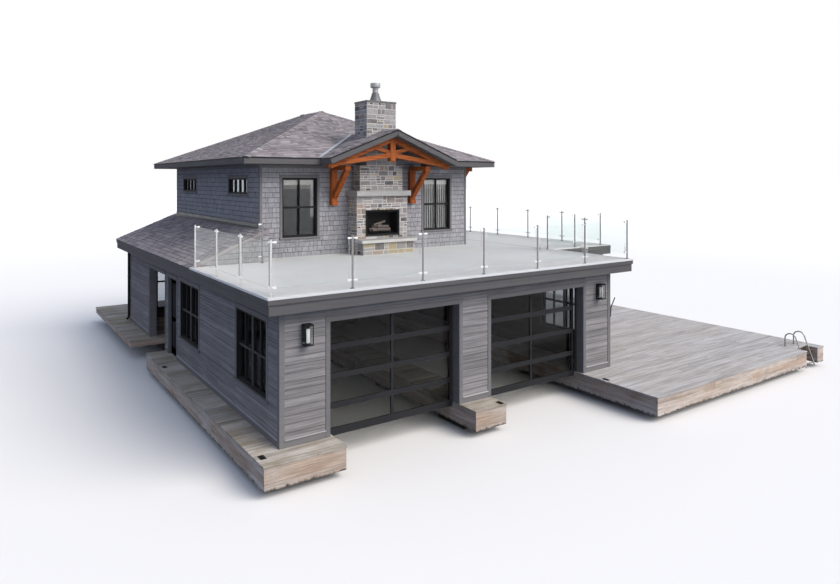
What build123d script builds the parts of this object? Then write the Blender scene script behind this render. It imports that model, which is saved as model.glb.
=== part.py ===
from build123d import *
from math import cos, radians, sin, tan
import os

os.makedirs("parts", exist_ok=True)

# All lengths are millimetres. X runs right along the front, Y back, Z up.
# Plan sizes are measured from the front left corner of the lower walls,
# heights from the top of the dock boards, and cabin heights from the terrace.

# Lower storey
house_width = 9620
house_depth = 14080
wall = 200
ceiling_height = 2640
opening_head = 2320
first_opening_left = 1050
first_opening_right = 4360
second_opening_left = 5300
right_pier = 1060
second_opening_right = house_width - right_pier

# Left wall, front to back
front_window_start = 660
front_window_end = 2430
middle_window_start = 5320
middle_window_end = 7060
lower_window_sill = 750
lower_window_head = 2330
side_door_start = 7480
side_door_end = 8390
side_door_head = 2290
side_slip_start = 8800
side_slip_end = 10850

# Rear wall windows of the lower storey
rear_slim_window_start = 900
rear_slim_window_width = 900
rear_slim_window_sill = 300
rear_wide_window_width = 1770

# Docks
dock_height = 620
deck_boards = 40
facing_height = 470
rear_facing_height = 230
facing_board = 90
board_nosing = 15
butt_joint = 0.3
joist = 70
joist_spacing = 610
crib_length = 1000
crib_margin = 300
crib_inset = 1400
wide_crib = 1800
crib_count = 4
rear_crib_count = 2
left_dock_reach = 565
left_dock_front = 600
dock_lip = 70
left_dock_lip = 90
right_dock_width = 8430
right_dock_start = second_opening_right - dock_lip
right_dock_end = right_dock_start + right_dock_width
right_dock_front = 2340
right_dock_back = 14700
rear_dock_reach = 670
rear_dock_start = 10600
rear_dock_end = 17400
ladder_slot_margin = 405
ladder_slot_width = 665
ladder_slot_end = right_dock_end - ladder_slot_margin
ladder_slot_start = ladder_slot_end - ladder_slot_width
ladder_slot_depth = 460

# Boarding ladder
ladder_tube = 38
ladder_rung = 28
ladder_inset = 65
ladder_foot_inset = 225
ladder_hoop_height = 430
ladder_hoop_width = 330
ladder_rake = 20
ladder_drop = 540
ladder_rung_heights = (-180, -440)
ladder_foot = 90

# Terrace and side deck
terrace_height = 2970
terrace_overhang = 400
terrace_right_overhang = 510
fascia_board = 40
fascia_step = 25
upper_fascia = 130
side_deck_start = 2520
side_deck_end = 13330
side_deck_reach = 3180
side_deck_right = house_width + side_deck_reach
side_deck_thickness = 290
side_deck_post = 150
side_deck_post_inset = 175
side_deck_post_count = 4

# Guard rail
rail_height = 1070
rail_setback = 260
rail_post = 44
rail_flange = 100
rail_flange_thickness = 10
rail_first_post = -290
rail_end_reach = 440
rail_end_post = house_width + rail_end_reach
rail_bay_count = 6
rail_bay = (rail_end_post - rail_first_post) / rail_bay_count
glass = 12
glass_gap = 80
glass_bottom = 160
glass_top = 1035
clip_height = 32
clip_thickness = 28
clip_grip = 25
post_sides = 12
left_rail_posts = (1380, 2950)
left_rail_end = 4630
left_rail_return = 1440
side_rail_setback = 230
side_rail_bay = 1725
side_rail_bays = 6

# Skirt roof over the left edge
skirt_start = 4780
skirt_thickness = 100
skirt_end_wall = 100
skirt_rake = 60

# Cabin
cabin_left = 1700
cabin_right_margin = 690
cabin_right = house_width - cabin_right_margin
cabin_front = 5470
cabin_back_margin = 20
cabin_back = house_depth + cabin_back_margin
cabin_wall = 180
soffit_height = 5580
eave_fascia = 190
eave_overhang = 680
roof_rise = 5
roof_run = 12
roof_shell = 180
attic_lift = 360
cabin_ceiling = 60

# Cabin windows
cabin_window_width = 1080
cabin_window_sill = 550
cabin_head_drop = 370
left_cabin_window_gap = 640
right_cabin_window_gap = 660
side_window_starts = (6440, 11540)
side_window_width = 1620
side_window_height = 470
patio_door_start = 8600
patio_door_width = 2400

# Window and glazed door frames
frame_depth = 70
frame_bar = 55
frame_setback = 30
mullion = 110
glazing_bar = 24
pane = 10

# Sectional boat doors
door_clearance = 15
boat_door_recess = 60
stop_hold = 120
stop_cover = 50
boat_door_thickness = 45
boat_door_drop = 100
boat_door_sections = 4
section_gap = 0.3
section_rail = 58
bottom_rail = 140
centre_stile = 55
end_stile = 75
track_width = 60
track_depth = 50
track_wall = 4
track_bend = 160
track_run = 2300

# Side door
jamb = 35
leaf = 45
leaf_setback = 60
leaf_gap = 6
leaf_floor_gap = 10
hinge_axis_gap = 15
hinge_axis_reach = 10
hinge_barrel = 16
hinge_pin = 8
hinge_fit = 0.05
hinge_length = 100
hinge_end_play = 0.3
hinge_arm = 12
hinge_heights = (300, 1150, 2000)
lever_height = 1050
lever_backset = 65
lever_rose = 54
lever_rose_depth = 10
lever_stem = 18
lever_reach = 45
lever_length = 120

# Front gable and its timber truss
gable_inset = 1490
gable_left = cabin_left + gable_inset
gable_right = cabin_right - gable_inset
gable_front = 4080
gable_rise = 850
gable_thickness = 190
gable_back = 7400
truss_front = 4330
timber = 160
rafter_depth = 150
king_post = 185
king_foot_lift = 120
king_foot = soffit_height + king_foot_lift
tie_depth = 150
tie_end_drop = 80
tie_end_low = soffit_height - tie_end_drop
tie_middle_lift = 220
tie_middle_low = soffit_height + tie_middle_lift
tie_overhang = 60
strut_depth = 120
strut_foot_lift = 300
strut_foot = soffit_height + strut_foot_lift
strut_run = 520

# Timber brackets beside the fireplace
bracket_gap = 465
bracket_post = 150
bracket_length = 1170
bracket_foot = soffit_height - bracket_length
brace_drop = 940
brace_foot = soffit_height - brace_drop
brace_depth = 170

# Fireplace and chimney
fireplace_centre = (gable_left + gable_right) / 2
hearth_width = 1900
hearth_depth = 1000
hearth_height = 430
hearth_slab = 80
lower_breast_width = 1760
lower_breast_depth = 550
upper_breast_width = 1480
upper_breast_depth = 490
mantel_width = 1900
mantel_depth = 680
mantel_top = 1860
mantel_thickness = 160
firebox_width = 1090
firebox_bottom = 555
firebox_top = 1246
firebox_depth = 420
firebox_lining = 20
stack_width = 1020
stack_depth = 730
stack_height = 1890
stack_top = soffit_height + stack_height
flashing_gap = 10
cap_overhang = 15
cap_thickness = 60
flue_skirt = 420
flue_skirt_height = 250
flue_collar = 230
flue_pipe = 180
flue_pipe_height = 190
flue_cap = 306
flue_cap_height = 137

# Wall lanterns
lantern_width = 180
lantern_depth = 190
lantern_bottom = 1930
lantern_top = 2345
lantern_plate = 20
lantern_left = 525
lantern_right_margin = 480
lantern_right = house_width - lantern_right_margin

# The origin is the middle of the footprint at the waterline
plan_x = -(right_dock_end - rear_dock_reach) / 2
plan_y = -(rear_dock_end - right_dock_front) / 2


# Sketch planes: level ones lie flat, front ones face -Y, side ones face +X
def level(height):
    return Plane(origin=(plan_x, plan_y, dock_height + height))


def front(depth):
    return Plane(origin=(plan_x, plan_y + depth, dock_height), x_dir=(1, 0, 0), z_dir=(0, -1, 0))


def side(across):
    return Plane(origin=(plan_x + across, plan_y, dock_height), x_dir=(0, 1, 0), z_dir=(1, 0, 0))


# Rectangle between two edges each way, for the sketch being drawn
def area(start_x, end_x, start_y, end_y, mode=Mode.ADD):
    with Locations(((start_x + end_x) / 2, (start_y + end_y) / 2)):
        Rectangle(end_x - start_x, end_y - start_y, mode=mode)


# Upright board or wall: a block between two edges each way and two heights
def block(start_x, end_x, start_y, end_y, bottom, top, mode=Mode.ADD):
    with BuildSketch(level(bottom)) as outline:
        area(start_x, end_x, start_y, end_y)
    extrude(outline.sketch, amount=top - bottom, mode=mode)


def save(piece, name):
    piece.label = name
    export_step(piece, f"parts/{name}.step")


# Docks: boards over a rim and joists, in one or more sections that butt together
def dock(name, sections, facing):
    with BuildPart() as body:
        with BuildSketch(level(-deck_boards)):
            for edges in sections:
                area(*edges)
        extrude(amount=deck_boards)
        with BuildSketch(level(-facing)):
            for start_x, end_x, start_y, end_y in sections:
                joist_count = max(1, round((end_y - start_y) / joist_spacing))
                joist_step = (end_y - start_y) / joist_count
                inner_x, inner_y = (start_x + end_x) / 2, (start_y + end_y) / 2
                rim_width = end_x - start_x - 2 * board_nosing
                rim_length = end_y - start_y - 2 * board_nosing
                with Locations((inner_x, inner_y)):
                    Rectangle(rim_width, rim_length)
                    Rectangle(rim_width - 2 * facing_board, rim_length - 2 * facing_board,
                              mode=Mode.SUBTRACT)
                if joist_count > 1:
                    with Locations((inner_x, inner_y)), GridLocations(0, joist_step, 1, joist_count - 1):
                        Rectangle(rim_width, joist)
        extrude(amount=facing - deck_boards)
    save(body.part, name)


ladder_slot_back = ladder_slot_depth - right_dock_front
dock("left_dock",
     [(-left_dock_reach, first_opening_left + left_dock_lip, -left_dock_front, wall - butt_joint),
      (-left_dock_reach, first_opening_left, wall, side_slip_start)],
     facing_height)
dock("centre_dock", [(first_opening_right, second_opening_left, -left_dock_front, rear_dock_start)],
     facing_height)
dock("right_dock",
     [(right_dock_start, ladder_slot_start - butt_joint, -right_dock_front, right_dock_back),
      (ladder_slot_start, right_dock_end, ladder_slot_back, right_dock_back),
      (ladder_slot_end, right_dock_end, -right_dock_front, ladder_slot_back - butt_joint)],
     facing_height)
dock("rear_dock", [(-rear_dock_reach, right_dock_start, rear_dock_start, rear_dock_end)],
     rear_facing_height)


# Even places for cribs down one side of a dock, from front to back
def crib_line(middle_x, start_y, end_y, count):
    inset = crib_length / 2 + joist_spacing
    step = (end_y - start_y - 2 * inset) / (count - 1)
    return [(middle_x, start_y + inset + number * step) for number in range(count)]


# Timber cribs in the water, under each dock's frame
left_dock_width = left_dock_reach + first_opening_left
centre_dock_width = second_opening_left - first_opening_right
crib_rows = [
    (facing_height, left_dock_width - crib_margin,
     crib_line(first_opening_left - left_dock_width / 2, -left_dock_front, side_slip_start, crib_count)),
    (facing_height, centre_dock_width - crib_margin,
     crib_line(first_opening_right + centre_dock_width / 2, -left_dock_front, rear_dock_start, crib_count)),
    (facing_height, wide_crib,
     crib_line(right_dock_start + crib_inset, -right_dock_front, right_dock_back, crib_count)
     + crib_line(right_dock_end - crib_inset, -right_dock_front, right_dock_back, crib_count)),
    (rear_facing_height, wide_crib,
     crib_line(crib_inset, rear_dock_start, rear_dock_end, rear_crib_count)
     + crib_line(right_dock_start - crib_inset, rear_dock_start, rear_dock_end, rear_crib_count))]
with BuildPart() as cribs:
    for facing, crib_width, places in crib_rows:
        with BuildSketch(level(-dock_height)):
            with Locations(*places):
                Rectangle(crib_width, crib_length)
        extrude(amount=dock_height - facing)
save(cribs.part, "cribs")


# Boarding ladder: two raked hoops from the dock down into the slot, joined by rungs
hoop_radius = ladder_hoop_width / 2
hoop_inner_y = ladder_slot_back + ladder_foot_inset
hoop_spring = ladder_hoop_height - hoop_radius - ladder_tube / 2
hoop_places = (ladder_slot_start + ladder_inset, ladder_slot_end - ladder_inset)
leg_slope = tan(radians(ladder_rake))
leg_head_y = hoop_inner_y - hoop_radius * (1 + cos(radians(ladder_rake)))
leg_head = hoop_spring + hoop_radius * sin(radians(ladder_rake))


# How far back the raked leg of the ladder is at a height
def leg_y(height):
    return leg_head_y - (leg_head - height) * leg_slope


with BuildPart() as ladder:
    for across in hoop_places:
        with BuildLine(side(across)) as hoop:
            Line((hoop_inner_y, 0), (hoop_inner_y, hoop_spring))
            CenterArc((hoop_inner_y - hoop_radius, hoop_spring), hoop_radius, 0, 180 - ladder_rake)
            Line((leg_head_y, leg_head), (leg_y(-ladder_drop), -ladder_drop))
        with BuildSketch(Plane(origin=hoop.line @ 0, z_dir=hoop.line % 0)):
            Circle(ladder_tube / 2)
        sweep(path=hoop.line)
        with BuildSketch(level(0)):
            with Locations((across, hoop_inner_y)):
                Circle(ladder_foot / 2)
        extrude(amount=rail_flange_thickness)
    for height in ladder_rung_heights:
        with BuildSketch(side(hoop_places[0])):
            with Locations((leg_y(height), height)):
                Circle(ladder_rung / 2)
        extrude(amount=hoop_places[1] - hoop_places[0])
save(ladder.part, "ladder")


# Front of the lower storey: three piers and the header over the boat openings
def plain_wall(name, start_x, end_x, start_y, end_y, bottom, top):
    with BuildPart() as body:
        block(start_x, end_x, start_y, end_y, bottom, top)
    save(body.part, name)


# Each pier has a stop behind its edge, which the boat door closes against
def front_pier(name, start_x, end_x, stops):
    with BuildPart() as body:
        block(start_x, end_x, 0, wall, 0, opening_head)
        for edge, inward in stops:
            stop_edges = sorted((edge - inward * stop_hold, edge + inward * stop_cover))
            block(*stop_edges, wall, wall + boat_door_recess, 0, opening_head)
    save(body.part, name)


front_pier("front_pier_left", 0, first_opening_left, [(first_opening_left, 1)])
front_pier("front_pier_centre", first_opening_right, second_opening_left,
           [(first_opening_right, -1), (second_opening_left, 1)])
front_pier("front_pier_right", second_opening_right, house_width, [(second_opening_right, -1)])
plain_wall("front_header", 0, house_width, 0, wall, opening_head, ceiling_height)


# Long side walls run between the front and the rear wall
def side_wall(name, across, start_y, end_y, windows, top):
    with BuildPart() as body:
        with BuildSketch(side(across)):
            area(start_y, end_y, 0, top)
            for window_start, window_end in windows:
                area(window_start, window_end, lower_window_sill, lower_window_head,
                     mode=Mode.SUBTRACT)
        extrude(amount=wall)
    save(body.part, name)


lower_side_windows = [(front_window_start, front_window_end), (middle_window_start, middle_window_end)]
side_wall("left_wall_front", 0, wall, side_door_start, lower_side_windows, ceiling_height)
side_wall("left_wall_pier", 0, side_door_end, side_slip_start, [], side_door_head)
side_wall("left_wall_rear", 0, side_slip_end, house_depth - wall, [], ceiling_height)
side_wall("right_wall", house_width - wall, wall, house_depth - wall, lower_side_windows, ceiling_height)
plain_wall("left_wall_header", 0, wall, side_door_start, side_slip_end, side_door_head, ceiling_height)

rear_slim_windows = [
    (rear_slim_window_start, rear_slim_window_start + rear_slim_window_width),
    (house_width - rear_slim_window_start - rear_slim_window_width, house_width - rear_slim_window_start)]
rear_wide_window = ((house_width - rear_wide_window_width) / 2, (house_width + rear_wide_window_width) / 2)
with BuildPart() as rear_wall:
    with BuildSketch(front(house_depth - wall)):
        area(0, house_width, 0, ceiling_height)
        for window_start, window_end in rear_slim_windows:
            area(window_start, window_end, rear_slim_window_sill, lower_window_head, mode=Mode.SUBTRACT)
        area(*rear_wide_window, lower_window_sill, lower_window_head, mode=Mode.SUBTRACT)
    extrude(amount=-wall)
save(rear_wall.part, "rear_wall")


# Window frame in the sketch being drawn: outer ring, upright bars and level bars
def window_bars(start, end, bottom, top, uprights, levels, muntins=()):
    area(start, end, bottom, top)
    area(start + frame_bar, end - frame_bar, bottom + frame_bar, top - frame_bar, mode=Mode.SUBTRACT)
    for middle, width in uprights:
        area(middle - width / 2, middle + width / 2, bottom, top)
    for middle in levels:
        area(start, end, middle - frame_bar / 2, middle + frame_bar / 2)
    for middle in muntins:
        area(middle - glazing_bar / 2, middle + glazing_bar / 2, bottom, top)


# A pair of double-hung sashes: a mullion between them and a muntin in each
def sash_pair(start, end, bottom, top):
    middle = (start + end) / 2
    quarter = (end - start) / 4
    window_bars(start, end, bottom, top, [(middle, mullion)], [(bottom + top) / 2],
                [middle - quarter, middle + quarter])


# One double-hung sash with a muntin
def single_sash(start, end, bottom, top):
    window_bars(start, end, bottom, top, [], [(bottom + top) / 2], [(start + end) / 2])


# A low window of four lights
def light_row(start, end, bottom, top):
    step = (end - start) / 4
    window_bars(start, end, bottom, top, [(start + number * step, frame_bar) for number in (1, 2, 3)], [])


left_glass_face = frame_setback + frame_depth
with BuildPart() as lower_window_frames:
    for face in (frame_setback, house_width - frame_setback - frame_depth):
        with BuildSketch(side(face)):
            for window_start, window_end in lower_side_windows:
                sash_pair(window_start, window_end, lower_window_sill, lower_window_head)
        extrude(amount=frame_depth)
    with BuildSketch(front(house_depth - frame_setback - frame_depth)):
        for window_start, window_end in rear_slim_windows:
            single_sash(window_start, window_end, rear_slim_window_sill, lower_window_head)
        sash_pair(*rear_wide_window, lower_window_sill, lower_window_head)
    extrude(amount=-frame_depth)
save(lower_window_frames.part, "lower_window_frames")


# Glass lies against the inner face of the frames, one sheet to an opening
with BuildPart() as lower_glass:
    for face in (left_glass_face, house_width - left_glass_face - pane):
        with BuildSketch(side(face)):
            for window_start, window_end in lower_side_windows:
                area(window_start, window_end, lower_window_sill, lower_window_head)
        extrude(amount=pane)
    with BuildSketch(front(house_depth - left_glass_face - pane)):
        for window_start, window_end in rear_slim_windows:
            area(window_start, window_end, rear_slim_window_sill, lower_window_head)
        area(*rear_wide_window, lower_window_sill, lower_window_head)
    extrude(amount=-pane)
save(lower_glass.part, "lower_glass")


# Side door: jambs and head in the wall, with the hinge pins held by short arms
hinge_y = side_door_end - jamb - hinge_axis_gap
hinge_x = leaf_setback + leaf + hinge_axis_reach
door_opening_start = side_door_start + jamb
door_opening_end = side_door_end - jamb
leaf_start = door_opening_start + leaf_gap
leaf_end = door_opening_end - leaf_gap
leaf_top = side_door_head - jamb - leaf_gap
with BuildPart() as side_door_frame:
    with BuildSketch(side(0)):
        area(side_door_start, side_door_end, 0, side_door_head)
        area(door_opening_start, door_opening_end, 0, side_door_head - jamb, mode=Mode.SUBTRACT)
    extrude(amount=wall)
    for height in hinge_heights:
        pin_bottom = height - hinge_end_play - hinge_arm
        pin_top = height + hinge_length + hinge_end_play + hinge_arm
        with BuildSketch(level(pin_bottom)):
            with Locations((hinge_x, hinge_y)):
                Circle(hinge_pin / 2)
        extrude(amount=pin_top - pin_bottom)
        for arm_bottom in (pin_bottom, pin_top - hinge_arm):
            block(hinge_x - hinge_pin / 2, hinge_x + hinge_pin / 2, hinge_y, door_opening_end,
                  arm_bottom, arm_bottom + hinge_arm)
save(side_door_frame.part, "side_door_frame")

with BuildPart() as side_door:
    block(leaf_setback, leaf_setback + leaf, leaf_start, leaf_end, leaf_floor_gap, leaf_top)
    for height in hinge_heights:
        with BuildSketch(level(height)):
            with Locations((hinge_x, hinge_y)):
                Circle(hinge_barrel / 2)
            area(leaf_setback + leaf, hinge_x, hinge_y - hinge_barrel / 2, hinge_y)
            with Locations((hinge_x, hinge_y)):
                Circle(hinge_pin / 2 + hinge_fit, mode=Mode.SUBTRACT)
        extrude(amount=hinge_length)
save(side_door.part, "side_door")


# Lever handles on both faces of the leaf
lever_y = leaf_start + lever_backset
with BuildPart() as side_door_handle:
    for face, outward in ((leaf_setback, -1), (leaf_setback + leaf, 1)):
        with BuildSketch(side(face)):
            with Locations((lever_y, lever_height)):
                Circle(lever_rose / 2)
        extrude(amount=outward * lever_rose_depth)
        with BuildSketch(side(face)):
            with Locations((lever_y, lever_height)):
                Circle(lever_stem / 2)
        extrude(amount=outward * lever_reach)
        with BuildSketch(side(face + outward * lever_reach)):
            with Locations((lever_y - lever_stem / 2 + lever_length / 2, lever_height)):
                SlotOverall(lever_length, lever_stem)
        extrude(amount=-outward * lever_stem)
save(side_door_handle.part, "side_door_handle")


# Sectional boat doors behind the front openings, four glazed sections each
boat_door_face = wall + boat_door_recess
boat_door_bottom = -boat_door_drop
section_height = (opening_head + boat_door_drop) / boat_door_sections


# Edges of one section's two panes: left, right, bottom and top
def section_panes(start, end, number):
    bottom = boat_door_bottom + number * section_height
    pane_bottom = bottom + (bottom_rail if number == 0 else section_rail)
    pane_top = bottom + section_height - section_rail
    middle = (start + end) / 2
    return [(start + end_stile, middle - centre_stile / 2, pane_bottom, pane_top),
            (middle + centre_stile / 2, end - end_stile, pane_bottom, pane_top)]


def boat_door(name, start, end):
    with BuildPart() as sections:
        with BuildSketch(front(boat_door_face)):
            for number in range(boat_door_sections):
                bottom = boat_door_bottom + number * section_height
                area(start, end, bottom, bottom + section_height - section_gap)
                for edges in section_panes(start, end, number):
                    area(*edges, mode=Mode.SUBTRACT)
        extrude(amount=-boat_door_thickness)
    save(sections.part, name)


first_door = (first_opening_left + door_clearance, first_opening_right - door_clearance)
second_door = (second_opening_left + door_clearance, right_dock_start - door_clearance)
boat_door("boat_door_left", *first_door)
boat_door("boat_door_right", *second_door)

with BuildPart() as boat_door_glass:
    with BuildSketch(front(boat_door_face + (boat_door_thickness - pane) / 2)):
        for door in (first_door, second_door):
            for number in range(boat_door_sections):
                for edges in section_panes(*door, number):
                    area(*edges)
    extrude(amount=-pane)
save(boat_door_glass.part, "boat_door_glass")

# Door tracks: upright channels beside the doors that turn back under the ceiling
track_middle_y = boat_door_face + boat_door_thickness + track_depth / 2
track_top = ceiling_height - track_depth / 2
track_foot = 0
with BuildPart() as door_tracks:
    for edge, outward in ((first_door[0], 1), (first_door[1], -1), (second_door[0], 1), (second_door[1], -1)):
        with BuildLine(side(edge + outward * track_width / 2)) as run:
            FilletPolyline((track_middle_y, track_foot), (track_middle_y, track_top),
                           (track_middle_y + track_run, track_top), radius=track_bend)
        with BuildSketch(Plane(origin=run.line @ 0, x_dir=(1, 0, 0), z_dir=run.line % 0)):
            Rectangle(track_width, track_depth)
            with Locations((outward * track_wall, 0)):
                Rectangle(track_width, track_depth - 2 * track_wall, mode=Mode.SUBTRACT)
        sweep(path=run.line)
save(door_tracks.part, "door_tracks")


# Terrace and ceiling slab, with stepped fascia boards round all four edges
terrace_left = -terrace_overhang
terrace_right = house_width + terrace_right_overhang
terrace_front = -terrace_overhang
terrace_back = house_depth + terrace_overhang
with BuildPart() as terrace:
    block(terrace_left + fascia_board, terrace_right - fascia_board, terrace_front + fascia_board,
          terrace_back - fascia_board, ceiling_height, terrace_height)
save(terrace.part, "terrace")

# The front and back boards run full width and the side boards butt against them
with BuildPart() as terrace_fascia:
    for bottom, top, step in ((ceiling_height, terrace_height - upper_fascia, fascia_step),
                              (terrace_height - upper_fascia, terrace_height, 0)):
        with BuildSketch(level(bottom)):
            area(terrace_left + step, terrace_right - step, terrace_front + step, terrace_back - step)
            area(terrace_left + fascia_board, terrace_right - fascia_board,
                 terrace_front + fascia_board, terrace_back - fascia_board, mode=Mode.SUBTRACT)
            for joint in (terrace_front + fascia_board, terrace_back - fascia_board - butt_joint):
                area(terrace_left, terrace_right, joint, joint + butt_joint, mode=Mode.SUBTRACT)
        extrude(amount=top - bottom)
save(terrace_fascia.part, "terrace_fascia")

side_deck_bottom = terrace_height - side_deck_thickness
with BuildPart() as side_deck:
    block(terrace_right, side_deck_right - fascia_step, side_deck_start + fascia_step,
          side_deck_end - fascia_step, side_deck_bottom, terrace_height)
    block(terrace_right, side_deck_right, side_deck_start, side_deck_end,
          terrace_height - upper_fascia, terrace_height)
save(side_deck.part, "side_deck")

post_line = side_deck_right - side_deck_post_inset - side_deck_post / 2
post_first = side_deck_start + side_deck_post_inset + side_deck_post / 2
post_step = (side_deck_end - side_deck_start - 2 * side_deck_post_inset - side_deck_post) \
    / (side_deck_post_count - 1)
with BuildPart() as side_deck_posts:
    with BuildSketch(level(0)):
        for number in range(side_deck_post_count):
            with Locations((post_line, post_first + number * post_step)):
                Rectangle(side_deck_post, side_deck_post)
    extrude(amount=side_deck_bottom)
save(side_deck_posts.part, "side_deck_posts")


# Guard rail: steel posts with clips that hold sheets of glass between them
front_rail_y = -rail_setback
front_posts = [rail_end_post - number * rail_bay for number in range(rail_bay_count + 1)]
side_rail_x = side_deck_right - side_rail_setback
side_rail_y = side_deck_start + side_rail_setback
side_rail_back = side_rail_y + side_rail_bays * side_rail_bay
side_rail_middle = (rail_end_post + side_rail_x) / 2
wall_rail_post = cabin_right + rail_flange
right_rail_middle = (front_rail_y + side_rail_y) / 2
front_rail = [(front_posts[-1 - number], front_rail_y) for number in range(rail_bay_count + 1)]
left_rail = [front_rail[0]] + [(front_rail[0][0], y) for y in (*left_rail_posts, left_rail_end)] \
    + [(left_rail_return, left_rail_end)]
right_rail = [front_rail[-1], (rail_end_post, right_rail_middle), (rail_end_post, side_rail_y),
              (side_rail_middle, side_rail_y), (side_rail_x, side_rail_y)]
side_rail = [(side_rail_x, side_rail_y + number * side_rail_bay) for number in range(side_rail_bays + 1)] \
    + [(side_rail_middle, side_rail_back), (rail_end_post, side_rail_back), (wall_rail_post, side_rail_back)]


# Direction from one post to the next, as a unit step along X or Y
def heading(start, end):
    run_x, run_y = end[0] - start[0], end[1] - start[1]
    length = abs(run_x) + abs(run_y)
    return run_x / length, run_y / length


# Centres of the clips beside every post, sorted by the way the glass runs
def clip_centres(length):
    centres = {True: [], False: []}
    for rail in (front_rail, left_rail, right_rail, side_rail):
        for begin, finish in zip(rail, rail[1:]):
            for start, end in ((begin, finish), (finish, begin)):
                step_x, step_y = heading(start, end)
                centres[step_y == 0].append((start[0] + step_x * length, start[1] + step_y * length))
    return centres


# Rectangles at the given centres, long way along the glass
def clip_outlines(centres, length, width, mode=Mode.ADD):
    with Locations(*centres[True]):
        Rectangle(length, width, mode=mode)
    with Locations(*centres[False]):
        Rectangle(width, length, mode=mode)


clip_length = glass_gap + clip_grip
posts = sorted(set(front_rail + left_rail + right_rail + side_rail))
with BuildPart() as railing_posts:
    with BuildSketch(level(terrace_height)):
        with Locations(*posts):
            Circle(rail_flange / 2)
    extrude(amount=rail_flange_thickness)
    with BuildSketch(level(terrace_height + rail_flange_thickness)):
        with Locations(*posts):
            RegularPolygon(rail_post / 2, post_sides)
    extrude(amount=rail_height - rail_flange_thickness)
    for clip_bottom in (glass_bottom, glass_top - clip_height):
        with BuildSketch(level(terrace_height + clip_bottom)):
            clip_outlines(clip_centres(clip_length / 2), clip_length, clip_thickness)
            clip_outlines(clip_centres(glass_gap + clip_grip / 2), clip_grip, glass, mode=Mode.SUBTRACT)
        extrude(amount=clip_height)
save(railing_posts.part, "railing_posts")


with BuildPart() as railing_glass:
    with BuildSketch(level(terrace_height + glass_bottom)):
        for rail in (front_rail, left_rail, right_rail, side_rail):
            for start, end in zip(rail, rail[1:]):
                across, along = abs(end[0] - start[0]), abs(end[1] - start[1])
                with Locations(((start[0] + end[0]) / 2, (start[1] + end[1]) / 2)):
                    if along == 0:
                        Rectangle(across - 2 * glass_gap, glass)
                    else:
                        Rectangle(glass, along - 2 * glass_gap)
    extrude(amount=glass_top - glass_bottom)
save(railing_glass.part, "railing_glass")


# Skirt roof down the left side, from the cabin wall to the terrace edge
roof_pitch = roof_rise / roof_run
skirt_top = terrace_height + (cabin_left - terrace_left) * roof_pitch
with BuildPart() as skirt_roof:
    with BuildSketch(front(skirt_start)):
        with BuildLine():
            Polyline((terrace_left, terrace_height), (cabin_left, skirt_top),
                     (cabin_left, skirt_top - skirt_thickness),
                     (terrace_left + skirt_thickness / roof_pitch, terrace_height), close=True)
        make_face()
    extrude(amount=-(terrace_back - skirt_start))
save(skirt_roof.part, "skirt_roof")

with BuildPart() as skirt_roof_ends:
    for face in (skirt_start + skirt_rake, terrace_back - skirt_rake - skirt_end_wall):
        with BuildSketch(front(face)):
            with BuildLine():
                Polyline((terrace_left + skirt_thickness / roof_pitch, terrace_height),
                         (cabin_left, skirt_top - skirt_thickness), (cabin_left, terrace_height),
                         close=True)
            make_face()
        extrude(amount=-skirt_end_wall)
save(skirt_roof_ends.part, "skirt_roof_ends")


# Hip roof form: eaves at two heights, hips at the roof pitch, over a plan rectangle
roof_left = cabin_left - eave_overhang
roof_right = cabin_right + eave_overhang
roof_front = cabin_front - eave_overhang
roof_back = cabin_back + eave_overhang
eave_top = soffit_height + eave_fascia


def hip_form(left, right, near, far, bottom, spring):
    middle_x = (left + right) / 2
    run = (right - left) / 2
    rise = run * roof_pitch
    with BuildPart() as form:
        with BuildSketch(front(near)):
            with BuildLine():
                Polyline((left, bottom), (left, spring), (middle_x, spring + rise),
                         (right, spring), (right, bottom), close=True)
            make_face()
        extrude(amount=-(far - near))
        with BuildSketch(side(left)):
            with BuildLine():
                Polyline((near, bottom), (near, spring), (near + run, spring + rise),
                         (far - run, spring + rise), (far, spring), (far, bottom), close=True)
            make_face()
        extrude(amount=right - left, mode=Mode.INTERSECT)
    return form.part


stack_left = fireplace_centre - stack_width / 2
stack_right = fireplace_centre + stack_width / 2
upper_breast_front = cabin_front - upper_breast_depth
stack_back = upper_breast_front + stack_depth
gable_middle = (gable_left + gable_right) / 2
gable_eave_top = soffit_height + eave_fascia
gable_eave_bottom = gable_eave_top - gable_thickness
gable_pitch = gable_rise / (gable_middle - gable_left)
inner_front = cabin_front + cabin_wall
roof_form = hip_form(roof_left, roof_right, roof_front, roof_back, soffit_height, eave_top)
attic_form = hip_form(cabin_left + cabin_wall, cabin_right - cabin_wall, stack_back + roof_shell,
                      cabin_back - cabin_wall, soffit_height + cabin_ceiling, soffit_height + attic_lift)
with BuildPart() as notched_roof:
    add(roof_form)
    block(gable_left, gable_right, roof_front, inner_front, soffit_height, stack_top, mode=Mode.SUBTRACT)

with BuildPart() as hip_roof:
    add(notched_roof.part)
    add(attic_form, mode=Mode.SUBTRACT)
    block(stack_left - flashing_gap, stack_right + flashing_gap, upper_breast_front,
          stack_back + flashing_gap, soffit_height, stack_top, mode=Mode.SUBTRACT)
save(hip_roof.part, "hip_roof")


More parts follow.
